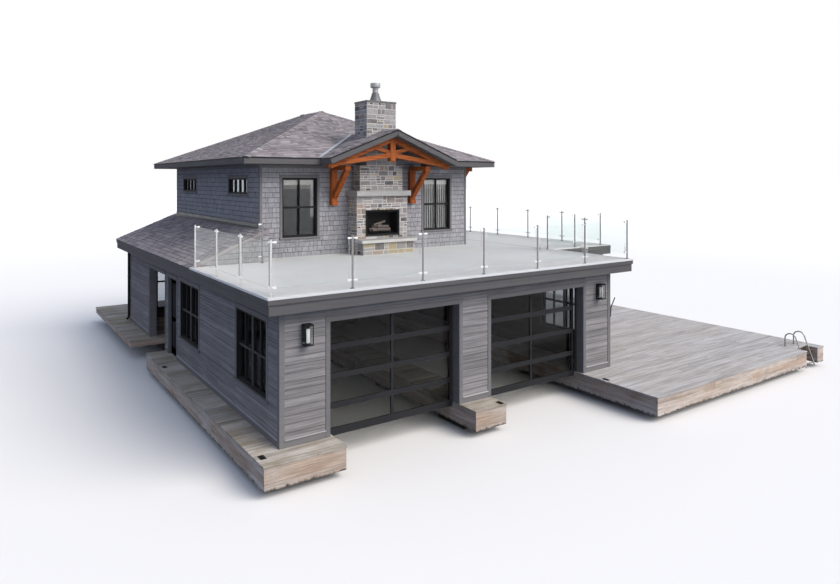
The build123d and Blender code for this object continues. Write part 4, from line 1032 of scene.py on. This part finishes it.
for number, (side, (place, length, foot, openings)) in enumerate(cabin_walls().items()):
    rng = random.Random(60 + number)
    boxes = shingle_boxes(rng, lambda low, high: course_runs(CABIN_CORNER, length - CABIN_CORNER, low, high,
                                                             widened(openings, CABIN_CASING)), foot, SOFFIT)
    if side == "cabin_front":
        boxes += shingle_boxes(rng, gable_runs, SOFFIT, SOFFIT + GABLE_RISE - 0.15)
    build(f"shingles_{side}", blocks(boxes, WALL_SHINGLE), SHINGLES, "shingle_siding", place=place)
    reach = CABIN_PROUD if side in ("cabin_front", "cabin_rear") else 0
    trim_boxes = casing_boxes(openings, foot, 0.02, CABIN_CASING)
    trim_boxes += [((-reach, -CABIN_PROUD, foot), (CABIN_CORNER, TUCK, SOFFIT)),
                   ((length - CABIN_CORNER, -CABIN_PROUD, foot), (length + reach, TUCK, SOFFIT)),
                   ((CABIN_CORNER, -CABIN_PROUD - 0.004, SOFFIT - 0.09),
                    (length - CABIN_CORNER, TUCK, SOFFIT))]
    build(f"trim_{side}", blocks(trim_boxes), TRIM, "trim_boards", place=place, ease=0.003)
    window_rings(side, place, openings)


def slats(count, x, y, foot, head, step, across, width):
    """Upright slats of a blind, in a row along a step."""
    spots = [(x + number * step[0], y + number * step[1]) for number in range(count)]
    return [beam((*spot, foot), (*spot, head), across, width, 0.003) for spot in spots]


def window_blinds():
    """Slatted blinds in the high left windows, blind boxes in the front ones, and upright blinds."""
    x = CABIN[0] + 0.125
    # The near high blind glows brightly and the far one faintly: painted light.
    for (near, far), finish, name in zip(CABIN_SIDE_WINDOWS, (PAINTED_GLOW_BLIND, FAINT_PAINTED_GLOW_BLIND), ("near", "far")):
        levels = [CABIN_HIGH_SILL + 0.02 + number * 0.046 for number in range(10)]
        parts = [beam((x, near + 0.03, z), (x, far - 0.03, z), (0.3, 0, 0.95), 0.05, 0.003) for z in levels]
        build(f"window_blind_{name}", parts, finish, "trim_boards")
    y = CABIN[2] + 0.12
    boxes = [((start + 0.06, y - 0.01, CABIN_HEAD - 0.20), (end - 0.06, y + 0.05, CABIN_HEAD - 0.055))
             for start, end in CABIN_FRONT_WINDOWS]
    build("blind_boxes", blocks(boxes), BLIND, "trim_boards", ease=0.012, segments=3)
    parts = slats(11, CABIN_FRONT_WINDOWS[1][0] + 0.09, y + 0.03, CABIN_SILL + 0.06, CABIN_HEAD - 0.19,
                  (0.09, 0), (0.75, 0.66, 0), 0.085)
    for start, end in CABIN_FRONT_WINDOWS:
        middle = CABIN[0] + CABIN[1] - (start + end) / 2
        parts += slats(15, middle - 0.56, CABIN[3] - 0.15, CABIN_SILL - 0.02, CABIN_HEAD + 0.02, (0.08, 0),
                       (0.94, 0.34, 0), 0.085)
    build("upright_blinds", parts, BLIND, "trim_boards")
    parts = slats(19, CABIN[1] - 0.13, PATIO_DOOR[0] + 0.1, TERRACE + 0.04, CABIN_HEAD - 0.06, (0, 0.12),
                  (0.35, 0.94, 0), 0.125)
    build("patio_door_blind", parts, BLIND, "trim_boards")


def skirt_end_shingles(inset=0.24):
    """Shingles on the two triangles under the ends of the skirt roof."""
    left, right, near, far = SKIRT
    for name, seed, place in (("front", 71, wall_frame(left + inset, near + 0.06, 0)),
                              ("rear", 72, wall_frame(right, far - 0.06, 180))):
        boxes = shingle_boxes(random.Random(seed), lambda low, high: [(0, right - left - inset, low, high)],
                              TERRACE + 0.02, SKIRT_HEAD - 0.1)
        build(f"shingles_skirt_{name}", blocks(boxes, WALL_SHINGLE), SHINGLES, "shingle_siding", place=place,
              cuts=[((left, near, TERRACE - 0.1), (-PITCH, 0, 1))])


window_blinds()
skirt_end_shingles()


# Roofs

left, right, near, far = ROOF
run = (right - left) / 2
ridge = EAVE + run * PITCH
valley_back = near + GABLE_RISE / PITCH
gable_half = GABLE_MIDDLE - GABLE[0]


def tab_boxes(rng, length, rise, overhang=0.015):
    """Roof shingles in courses up a slope, thick and thin tabs mixed."""
    boxes = []
    for row in range(math.ceil((rise + overhang) / ROOF_EXPOSURE)):
        low = -overhang + row * ROOF_EXPOSURE
        x = -rng.uniform(0.0, 0.2)
        while x < length:
            width = rng.choice((0.09, 0.13, 0.17, 0.22, 0.30))
            start, end = max(x, 0.0), min(x + width, length)
            if end - start > 0.01:
                drop = rng.choice((0.0, 0.0, 0.008))
                boxes.append(((start, low - drop, -0.004),
                              (end - 0.002, low + ROOF_EXPOSURE + 0.02, rng.choice((0.008, 0.011, 0.014)))))
            x += width
    return boxes


def slope(name, corner, along, up, length, rise, seed, cuts):
    build(name, blocks(tab_boxes(random.Random(seed), length, rise), TAB), ROOFING, "roof_shingles",
          place=slope_frame(corner, along, up), cuts=cuts)


def other_side(cut):
    point, outward = cut
    return point, tuple(-part for part in outward)


def roof_slopes():
    """The hip roof, its front slope in two halves up to the valleys, the gable and the skirt roof."""
    near_left, near_right, far_left, far_right = (
        ((x, y, EAVE), (1 if x == left else -1, -1 if y == near else 1, 0))
        for y in (near, far) for x in (left, right))
    ridge_left = ((left + run, near, EAVE), (1, 0, 0))
    ridge_right = other_side(ridge_left)
    left_valley, right_valley = (((x, near, EAVE), (way * (valley_back - near), -gable_half, 0))
                                 for x, way in zip(GABLE, (1, -1)))
    rise = math.hypot(run, run * PITCH)
    slope("roof_left", (left, far, EAVE), (0, -1, 0), (1, 0, PITCH), far - near, rise, 81,
          [near_left, far_left, ridge_left])
    slope("roof_right", (right, near, EAVE), (0, 1, 0), (-1, 0, PITCH), far - near, rise, 82,
          [near_right, far_right, ridge_right])
    slope("roof_rear", (right, far, EAVE), (-1, 0, 0), (0, -1, PITCH), right - left, rise, 83,
          [other_side(far_left), other_side(far_right)])
    slope("roof_front_left", (left, near, EAVE), (1, 0, 0), (0, 1, PITCH), right - left, rise, 84,
          [other_side(near_left), ridge_left, left_valley])
    slope("roof_front_right", (left, near, EAVE), (1, 0, 0), (0, 1, PITCH), right - left, rise, 85,
          [other_side(near_right), ridge_right, right_valley])
    length, rise = valley_back - GABLE_FRONT, math.hypot(gable_half, GABLE_RISE)
    slope("gable_left", (GABLE[0], valley_back, EAVE), (0, -1, 0), (1, 0, GABLE_PITCH), length, rise, 86,
          [((GABLE_MIDDLE, 0, 0), (1, 0, 0)), other_side(left_valley)])
    slope("gable_right", (GABLE[1], GABLE_FRONT, EAVE), (0, 1, 0), (-1, 0, GABLE_PITCH), length, rise, 87,
          [((GABLE_MIDDLE, 0, 0), (-1, 0, 0)), other_side(right_valley)])
    slope("skirt_shingles", (SKIRT[0], SKIRT[3], TERRACE), (0, -1, 0), (1, 0, PITCH), SKIRT[3] - SKIRT[2],
          math.hypot(SKIRT[1] - SKIRT[0], SKIRT_HEAD - TERRACE), 88, [((SKIRT[1], 0, 0), (1, 0, 0))])


def ridge_caps():
    """Folded caps over the hips, the ridge and the gable's ridge."""
    lines = [((x, y, EAVE), (left + run, y + way * run, ridge), 0.286)
             for y, way in ((near, 1), (far, -1)) for x in (left, right)]
    gable_ridge = EAVE + GABLE_RISE
    lines += [((left + run, near + run - 0.1, ridge), (left + run, far - run + 0.1, ridge), 0.395),
              ((GABLE_MIDDLE, GABLE_FRONT, gable_ridge), (GABLE_MIDDLE, valley_back, gable_ridge), 0.38)]
    folds = {fold: cap_pattern(fold) for fold in (0.286, 0.395, 0.38)}
    parts = []
    for start, end, fold in lines:
        start, end = Vector(start), Vector(end)
        along = (end - start).normalized()
        across = along.cross(Vector((0, 0, 1))).normalized()
        up = across.cross(along)
        count = int((end - start).length / 0.145)
        for number in range(count):
            corner = start + along * number * (end - start).length / count + up * 0.012
            turned = axes(across, along, up, corner)
            parts.append(placed(folds[fold], turned @ Matrix.Rotation(-0.05, 4, "X")))
    build("ridge_caps", parts, ROOFING, "roof_shingles")


def valley_flashing():
    """Bent metal in the two valleys between the gable and the front slope."""
    parts = []
    for way, foot_x in zip((1, -1), GABLE):
        start, end = Vector((foot_x, near, EAVE)), Vector((GABLE_MIDDLE, valley_back, EAVE + GABLE_RISE))
        along = (end - start).normalized()
        for normal in (Vector((0, -PITCH, 1)).normalized(), Vector((-way * GABLE_PITCH, 0, 1)).normalized()):
            across = along.cross(normal).normalized()
            wing = across if (across.x * way < 0) == (abs(normal.x) < 0.01) else -across
            shift = wing * 0.026 + normal * 0.016
            parts.append(beam(start + shift, end + shift, wing, 0.06, 0.004))
    build("valley_flashing", parts, FLASHING, "flue_steel")


def skirt_flashing():
    """Dark metal bent up the cabin's left wall, along the head of the skirt roof."""
    x, near, far = CABIN[0], CABIN[2] - 0.03, CABIN[3] + 0.03
    low = SKIRT_HEAD - 0.07 * PITCH + 0.014
    parts = blocks([((x - 0.036, near, SKIRT_HEAD - 0.03), (x - 0.024, far, SKIRT_HEAD + 0.09))])
    parts.append(beam((x - 0.07, near, low), (x - 0.07, far, low), (1, 0, PITCH), 0.12, 0.005))
    build("skirt_flashing", parts, DARK_METAL, "black_steel")


def eave_boards(thick=0.022, drip=0.036):
    """Fascia boards and drip edges round the hip roof and the gable, and up the gable's rakes."""
    plans = ((left - thick, GABLE[0], near - thick, near), (GABLE[1], right + thick, near - thick, near),
             (left - thick, right + thick, far, far + thick), (left - thick, left, near, far),
             (right, right + thick, near, far))
    boards = level_boxes(plans, SOFFIT + 0.004, EAVE - drip)
    boards += level_boxes([(GABLE[0] - thick, GABLE[0], GABLE_FRONT, near),
                           (GABLE[1], GABLE[1] + thick, GABLE_FRONT, near)], EAVE - 0.18, EAVE - 0.03)
    build("eave_fascia", blocks(boards), FASCIA, "trim_boards", ease=0.003)
    drips = level_boxes([(a - 0.008, b + 0.008, c - 0.008, d + 0.008) for a, b, c, d in plans],
                        EAVE - drip, EAVE - 0.001)
    build("drip_edges", blocks(drips), BLACK_FRAMES, "window_black", ease=0.002)
    for name, finish, slot, low, high, y in (
            ("gable_rakes", FASCIA, "trim_boards", 0.036, 0.188, GABLE_FRONT - 0.011),
            ("gable_drips", BLACK_FRAMES, "window_black", 0.0, 0.038, GABLE_FRONT - 0.023)):
        parts = []
        for way, foot_x in zip((1, -1), GABLE):
            z = EAVE - (low + high) / 2
            parts.append(beam((foot_x - way * 0.03, y, z), (GABLE_MIDDLE, y, z + GABLE_RISE), (0, 1, 0),
                              0.024, (high - low) * math.cos(math.atan(GABLE_PITCH))))
        build(name, parts, finish, slot, ease=0.003)


roof_slopes()
ridge_caps()
valley_flashing()
skirt_flashing()
eave_boards()


# Truss and brackets

def timbers(name, beams, finish, stands_for=()):
    build(name, [beam(*line) for line in beams], finish, "oiled_timber", ease=0.012, segments=2,
          stands_for=stands_for)


def front_truss(side=(0, 1, 0)):
    x, y, peak = GABLE_MIDDLE, TRUSS_Y, SOFFIT + GABLE_RISE
    beams = []
    for way in (-1, 1):
        beams += [((x, y, peak - 0.080), (x + way * 2.04, y, peak - 2.04 * GABLE_PITCH - 0.080), side,
                   TRUSS_THICK, 0.15),
                  ((x, y, 5.885), (x + way * 2.10, y, 5.580), side, TRUSS_THICK - 0.004, 0.135),
                  ((x + way * 0.07, y, 5.95), (x + way * 0.62, y, peak - 0.62 * GABLE_PITCH - 0.09), side,
                   TRUSS_THICK - 0.03, 0.115)]
    timbers("truss_rafters", beams, LEVEL_TIMBER, ["truss"])
    timbers("truss_king_post", [((x, y, 5.70), (x, y, peak - 0.10), side, TRUSS_THICK + 0.016, 0.185)],
            UPRIGHT_TIMBER)
    pegs = [(x + way * out, z, 0.086) for way in (-1, 1)
            for out, z in ((0.30, 5.83), (0.42, 5.86), (1.75, 5.63), (1.85, 5.60), (0.56, 6.10))]
    pegs += [(x, z, 0.094) for z in (5.80, 5.92, 6.20)]
    parts = [rod((peg_x, y - half, z), (peg_x, y + half, z), 0.011, PEG) for peg_x, z, half in pegs]
    build("truss_pegs", parts, UPRIGHT_TIMBER, "oiled_timber")


def wall_brackets():
    """Brackets beside the fireplace: wall post with a shaped foot, outrigger and brace."""
    uprights, level = [], []
    for x in (3.915, 6.69):
        uprights += [((x, 5.395, 4.52), (x, 5.395, SOFFIT - 0.15), (1, 0, 0), 0.20, 0.15),
                     ((x, 5.38, 4.41), (x, 5.38, 4.52), (1, 0, 0), 0.215, 0.18),
                     ((x, 5.33, 4.66), (x, 4.56, SOFFIT - 0.115), (1, 0, 0), 0.15, 0.15)]
        level.append(((x, 4.49, SOFFIT - 0.075), (x, 5.47, SOFFIT - 0.075), (1, 0, 0), 0.17, 0.13))
    x = CABIN[1]
    level.append(((x, 5.60, SOFFIT - 0.07), (x + 0.36, 5.60, SOFFIT - 0.07), (0, 1, 0), 0.15, 0.13))
    uprights.append(((x + 0.01, 5.60, SOFFIT - 0.36), (x + 0.20, 5.60, SOFFIT - 0.11), (0, 1, 0), 0.12, 0.11))
    timbers("bracket_posts", uprights, UPRIGHT_TIMBER, ["timber_brackets"])
    timbers("bracket_outriggers", level, LEVEL_TIMBER)


front_truss()
wall_brackets()


# Stonework

def stone_cells(rng, left, right, low, high):
    """Squared rubble: courses cut into stones of mixed sizes, some stacked in pairs."""
    cells = []
    z = low
    while z < high - 0.01:
        tall = rng.uniform(0.11, 0.19)
        top = high if high - z < tall + 0.08 else z + tall
        x = left
        while x < right - 0.01:
            wide = rng.uniform(0.13, 0.38)
            end = right if right - x < wide + 0.09 else x + wide
            style = rng.random()
            if style < 0.5 or top - z < 0.13:
                cells.append((x, end, z, top))
            else:
                split = z + (top - z) * rng.uniform(0.36, 0.64)
                cells.append((x, end, z, split))
                if style < 0.7 or end - x < 0.2:
                    cells.append((x, end, split, top))
                else:
                    cut = x + (end - x) * rng.uniform(0.35, 0.65)
                    cells += [(x, cut, split, top), (cut, end, split, top)]
            x = end
        z = top
    return cells


def cut_to_hole(cell, hole, overlap=0.01):
    """What a hole leaves of a cell, or nothing."""
    x0, x1, z0, z1 = cell
    left, right, low, high = hole
    if x0 < right - overlap and x1 > left + overlap and z0 < high - overlap and z1 > low + overlap:
        if x0 < left:
            x1 = left
        elif x1 > right:
            x0 = right
        elif z1 > high:
            z0 = high
        elif z0 < low:
            z1 = low
        else:
            return None
        if x1 - x0 < 0.04 or z1 - z0 < 0.04:
            return None
    return x0, x1, z0, z1


def stone_parts(rng, place, left, right, low, high, hole=None, joint=0.012):
    parts = []
    for cell in stone_cells(rng, left, right, low, high):
        cell = cut_to_hole(cell, hole) if hole else cell
        if cell:
            x0, x1, z0, z1 = cell
            proud = rng.uniform(0.003, 0.009)
            size = Vector((x1 - x0 - 2 * joint, 0.05 + proud, z1 - z0 - 2 * joint))
            parts.append(placed(rng.choice(STONES), place @ Matrix.LocRotScale(
                Vector((x0 + joint, -proud, z0 + joint)), None, size)))
    return parts


def stone_box(rng, plan, low, high, hole=None, side_low=None, back=False):
    """Stones on the front and sides of a box, and on its back if it shows."""
    left, right, near, far = plan
    side_low = low if side_low is None else side_low
    parts = stone_parts(rng, wall_frame(0, near, 0), left, right, low, high, hole)
    parts += stone_parts(rng, wall_frame(left, far, -90), 0, far - near, side_low, high)
    parts += stone_parts(rng, wall_frame(right, near, 90), 0, far - near, side_low, high)
    if back:
        parts += stone_parts(rng, wall_frame(right, far, 180), 0, right - left, side_low, high)
    return parts


def stonework():
    rng, x, wall = random.Random(5), GABLE_MIDDLE, CABIN[2]
    parts = stone_box(rng, (x - 0.88, x + 0.88, BREAST_FRONT, wall), HEARTH_TOP, MANTEL_BOTTOM, FIREBOX,
                      TERRACE)
    parts += stone_box(rng, (x - 0.87, x + 0.87, HEARTH_FRONT, BREAST_FRONT), TERRACE, HEARTH_TOP - 0.08)
    parts += stone_box(rng, (x - 0.74, x + 0.74, UPPER_BREAST_FRONT, wall), MANTEL_TOP, SOFFIT)
    build("fireplace_stones", parts, STONE, "field_stone", ease=0.004)
    parts = stone_box(random.Random(6), STACK, SOFFIT, STACK_TOP, side_low=6.0, back=True)
    build("chimney_stones", parts, STONE, "field_stone", ease=0.004)


def slab(name, low, high, stands_for=(), finish=CUT_STONE, slot="cut_stone", wear=0.004):
    """A cut stone slab with split edges, or a plate of sheet metal."""
    build(name, blocks([(low, high)]), finish, slot, rough=(11, wear, 4), ease=0.006, stands_for=stands_for)


def slabs(half=0.946, edge=0.013):
    x = GABLE_MIDDLE
    slab("mantel_slab", (x - half, 4.794, MANTEL_BOTTOM + 0.004), (x + half, CABIN[2], MANTEL_TOP - 0.004),
         ["mantel"])
    slab("hearth_slab", (x - half, 4.474, HEARTH_TOP - 0.076), (x + half, BREAST_FRONT, HEARTH_TOP + 0.006))
    left, right, near, far = STACK
    slab("chimney_cap_plate", (left - edge, near - edge, STACK_TOP + 0.002),
         (right + edge, far + edge, CAP_TOP - 0.002), ["chimney_cap"], DARK_METAL, "black_steel", 0.001)


def turned_piece(name, base, profile, finish, slot, stands_for=()):
    """A closed round piece: a circle drawn out ring by ring up a profile of radius and height."""
    x, y = GABLE_MIDDLE, (STACK[2] + STACK[3]) / 2
    profile = [(radius, base + height) for radius, height in profile]
    bpy.ops.object.select_all(action="DESELECT")
    bpy.ops.mesh.primitive_circle_add(vertices=40, radius=profile[0][0], fill_type="NGON",
                                      location=(x, y, profile[0][1]))
    piece = bpy.context.view_layer.objects.active
    piece.name = piece.data.name = name
    bpy.ops.object.transform_apply(location=True)
    open_all(piece)
    for (radius, height), (wider, higher) in zip(profile, profile[1:]):
        bpy.ops.mesh.extrude_region_move(TRANSFORM_OT_translate={"value": (0, 0, higher - height)})
        share = wider / radius
        bpy.ops.transform.resize(value=(share, share, 1), center_override=(x, y, higher))
    bpy.ops.mesh.select_all(action="SELECT")
    bpy.ops.mesh.normals_make_consistent(inside=False)
    close()
    complete(piece, finish, slot, smooth=40, stands_for=stands_for)


def flue():
    """Flared skirt on the cap, with a metal pipe, its storm collar and its rain cap."""
    turned_piece("flue_skirt", CAP_TOP, [(0.206, 0), (0.206, 0.012), (0.160, 0.09), (0.124, 0.20),
                                         (0.114, 0.25)], SKIRT_METAL, "black_steel")
    turned_piece("flue_pipe", CAP_TOP + 0.25, [(0.089, -0.02), (0.089, 0.19), (0.148, 0.192), (0.153, 0.206),
                                               (0.153, 0.312), (0.146, 0.324), (0.080, 0.327)],
                 FLUE_METAL, "flue_steel", ["flue"])
    turned_piece("flue_collar", CAP_TOP + 0.25, [(0.089, 0.035), (0.112, 0.003), (0.114, -0.004)],
                 DARK_METAL, "flue_steel")


def firebox_parts(bar=0.045):
    """Steel surround of the firebox, and a grate with split logs."""
    x0, x1, z0, z1 = FIREBOX
    front, back = BREAST_FRONT - 0.022, BREAST_FRONT + 0.008
    boxes = [((a, front, low), (b, back, high)) for a, b, low, high in (
        (x0 - bar, x1 + bar, z0 - bar, z0), (x0 - bar, x1 + bar, z1, z1 + bar),
        (x0 - bar, x0, z0, z1), (x1, x1 + bar, z0, z1))]
    grate = x0 + 0.12
    boxes += level_boxes([(grate + number * 0.105, grate + 0.02 + number * 0.105, BREAST_FRONT + 0.08, 5.22)
                          for number in range(9)], z0 + 0.07, z0 + 0.09)
    boxes += level_boxes([(x0 + 0.1, x1 - 0.1, y, y + 0.02) for y in (BREAST_FRONT + 0.1, 5.18)],
                         z0 + 0.05, z0 + 0.07)
    build("firebox_surround", blocks(boxes), BLACK_STEEL, "black_steel", ease=0.003)
    logs = [rod(*log) for log in (
        ((4.95, 5.10, 3.66), (5.66, 5.06, 3.66), 0.048), ((5.0, 5.0, 3.655), (5.62, 5.19, 3.66), 0.040),
        ((5.08, 5.16, 3.75), (5.58, 5.02, 3.74), 0.042), ((5.2, 5.0, 3.74), (5.42, 5.16, 3.86), 0.030),
        ((5.1, 5.08, 3.80), (5.5, 5.1, 3.90), 0.026))]
    build("fire_logs", logs, LOG_BARK, "field_stone", rough=(2, 0.006, 2))


stonework()
slabs()
flue()
firebox_parts()


# Lanterns, hook, downpipe and doors

def wall_lanterns(low=1.93, high=2.345, half=0.087, front=-0.205, back=-0.02, bar=0.015):
    """Box lanterns: back plate, thin corner bars, lid and foot, clear panes and an opal tube."""
    metal, panes, tubes = [], [], []
    middle = (front + back) / 2
    for x in (0.525, 9.14):
        metal += [((x - 0.06, back - 0.004, low + 0.05), (x + 0.06, back + 0.016, high - 0.03)),
                  ((x - half, front, high - 0.03), (x + half, back, high - 0.008)),
                  ((x - half - 0.003, front - 0.003, high - 0.008), (x + half + 0.003, back, high)),
                  ((x - half, front, low), (x + half, back, low + 0.014)),
                  ((x - 0.03, middle - 0.03, low + 0.014), (x + 0.03, middle + 0.03, low + 0.05))]
        metal += level_boxes([(a, a + bar, b, b + bar) for a in (x - half, x + half - bar)
                              for b in (front, back - bar)], low, high - 0.02)
        panes += level_boxes([(x - half + bar, x + half - bar, front + 0.003, front + 0.006),
                              (x - half + 0.003, x - half + 0.006, front + bar, back - bar),
                              (x + half - 0.006, x + half - 0.003, front + bar, back - bar)],
                             low + 0.014, high - 0.03)
        tubes.append(rod((x, middle, low + 0.05), (x, middle, high - 0.09), 0.042))
    build("lantern_frames", blocks(metal), BLACK_STEEL, "black_steel", ease=0.0015, stands_for=["lanterns"])
    build("lantern_panes", blocks(panes), CLEAR_GLASS, "clear_glass")
    build("lantern_tubes", tubes, OPAL, "clear_glass", ease=0.006, segments=2, smooth=35)


def wall_hook(y=0.05):
    """Black hanging hook on the right wall, just behind the front corner."""
    corners = [(9.645, 1.42), (9.74, 1.35), (9.765, 1.62), (9.93, 1.87)]
    parts = [rod((a, y, b), (c, y, d), 0.014) for (a, b), (c, d) in zip(corners, corners[1:])]
    parts.append(rod((9.645, y, 1.60), (9.765, y, 1.62), 0.012))
    parts += blocks([((9.64, y - 0.03, 1.34), (9.652, y + 0.03, 1.68))])
    build("wall_hook", parts, BLACK_STEEL, "black_steel", ease=0.002)


def downpipe(x=-0.075, y=13.93, radius=0.038):
    """Rainwater pipe down the rear left corner, with its elbows and straps."""
    parts = [rod((x, y, 0.12), (x, y, 2.60), radius), rod((x, y, 0.13), (x - 0.07, y, 0.05), radius)]
    for z in (0.7, 1.6, 2.4):
        parts.append(rod((x, y, z), (x, y, z + 0.03), radius + 0.006))
        parts += blocks([((x, y - 0.05, z), (x + 0.06, y + 0.05, z + 0.03))])
    build("downpipe", parts, BLACK_STEEL, "black_steel", ease=0.002, smooth=35)


def door_leaf(near=7.521, far=8.349, low=0.01, high=2.249, stile=0.12, rail=0.14, foot=0.22, middle=0.98):
    """Side door leaf: stiles and rails with sunk panels between them."""
    boxes = [((0.060, a, low), (0.105, a + stile, high)) for a in (near, far - stile)]
    boxes += [((0.060, near + stile, bottom), (0.105, far - stile, top))
              for bottom, top in ((low, low + foot), (middle, middle + rail), (high - rail, high))]
    for bottom, top in ((low + foot, middle), (middle + rail, high - rail)):
        boxes += [((0.072, near + stile, bottom), (0.093, far - stile, top)),
                  ((0.066, near + stile + 0.05, bottom + 0.05), (0.099, far - stile - 0.05, top - 0.05))]
    build("door_panels", blocks(boxes), DOOR_PAINT, "door_leaf", ease=0.003, body="door_leaf")


def boat_door_fittings():
    """Rubber seals under the boat doors, and the hinges between their sections."""
    seals, plates = [], []
    for start, end in ((1.065, 4.345), (5.315, 8.475)):
        seals.append(((start + 0.005, 0.265, -0.118), (end - 0.005, 0.298, -0.098)))
        for z in (-0.1 + number * 0.605 for number in (1, 2, 3)):
            for x in (start + 0.04, (start + end) / 2, end - 0.04):
                plates += [((x - 0.03, 0.304, z - 0.05), (x + 0.03, 0.309, z + 0.05)),
                           ((x - 0.012, 0.306, z - 0.014), (x + 0.012, 0.322, z + 0.014))]
    build("boat_door_seals", blocks(seals), RUBBER, "black_steel", ease=0.004, segments=2)
    build("boat_door_hinges", blocks(plates), STEEL, "railing_steel", ease=0.002)


wall_lanterns()
wall_hook()
downpipe()
door_leaf()
boat_door_fittings()


# Finishes on the parts that are carried over

for finish, nodes in (
        (CRIBS, "cribs"), (STEEL, "ladder side_door_handle"), (FLUE_METAL, "door_tracks"),
        (INSIDE, "front_pier_left front_pier_centre front_pier_right front_header left_wall_front "
                 "left_wall_pier left_wall_header left_wall_rear right_wall rear_wall"),
        (LINED_WALL, "cabin_front_wall cabin_left_wall cabin_right_wall cabin_rear_wall"),
        (BLACK_FRAMES, "lower_window_frames cabin_window_frames"), (WINDOW_GLASS, "lower_glass"),
        (CABIN_GLASS, "cabin_glass"), (BOAT_GLASS, "boat_door_glass"), (RAIL_GLASS, "railing_glass"),
        (TRIM, "side_door_frame side_deck_posts"), (DOOR_PAINT, "side_door"),
        (BRONZE, "boat_door_left boat_door_right"), (TERRACE_FLOOR, "terrace side_deck"),
        (FASCIA, "terrace_fascia"), (ROOFING, "skirt_roof"), (SHINGLES, "skirt_roof_ends"),
        (SOFFITS, "hip_roof gable_roof"), (MORTAR, "hearth fireplace chimney_breast chimney_stack"),
        (BLACK_STEEL, "firebox")):
    for name in nodes.split():
        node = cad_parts[name]
        if node.material_slots:
            for held in node.material_slots:
                held.material = finish
        else:
            node.data.materials.append(finish)

for pattern in patterns:
    bpy.data.objects.remove(pattern)


# Floor, light and camera

def stage_floor():
    bpy.ops.object.select_all(action="DESELECT")
    bpy.ops.mesh.primitive_circle_add(vertices=96, radius=400, fill_type="NGON", location=(0, 0, 0))
    floor = bpy.context.view_layer.objects.active
    floor.name = "floor"
    finish, t, surface = new_finish("pale_floor", Roughness=0.9, Specular_IOR_Level=0.1,
                                    Emission_Color=(1.0, 1.0, 1.0))
    seen = t.seen()
    t.wire(surface["Base Color"], t.blend(seen, (0.12, 0.145, 0.20), (0.85, 0.825, 0.79)))
    reach = t.add("VectorMath", {0: t.place()}, operation="LENGTH")["Value"]
    t.wire(surface["Emission Strength"], t.times(t.between(reach, 25.0, 90.0, 0.0, 0.25), seen))
    floor.data.materials.append(finish)


def soft_light():
    world = bpy.data.worlds.new("studio")
    bpy.context.scene.world = world
    world.use_nodes = True
    t, backdrop = Nodes(world.node_tree), world.node_tree.nodes["Background"].inputs
    seen = t.seen()
    t.wire(backdrop["Color"], t.blend(seen, (0.80, 0.95, 1.30), (1.0, 1.0, 1.0)))
    t.wire(backdrop["Strength"], t.between(seen, 0.0, 1.0, 0.46, 1.0))
    for name, strength, spread, warmth, direction in (
            ("key", 3.15, 44, (1.0, 0.96, 0.91), (0.40, -0.62, 0.675)),
            ("fill", 1.1, 60, (1.0, 0.97, 0.93), (0.20, -0.96, 0.14))):
        lamp = bpy.data.lights.new(name, "SUN")
        lamp.energy, lamp.angle, lamp.color = strength, math.radians(spread), warmth
        light = bpy.data.objects.new(name, lamp)
        light.rotation_euler = Vector(direction).to_track_quat("Z", "Y").to_euler()
        bpy.context.scene.collection.objects.link(light)


def add_camera():
    lens = bpy.data.cameras.new("camera")
    lens.lens, lens.sensor_width, lens.shift_y = 27.81, 36, -0.1333
    camera = bpy.data.objects.new("camera", lens)
    camera.location = (-13.014, -19.263, 5.77)
    camera.rotation_euler = (math.radians(90), 0, math.radians(-34.794))
    bpy.context.scene.collection.objects.link(camera)
    bpy.context.scene.camera = camera


stage_floor()
soft_light()
add_camera()
bpy.context.scene.view_settings.view_transform = "Standard"
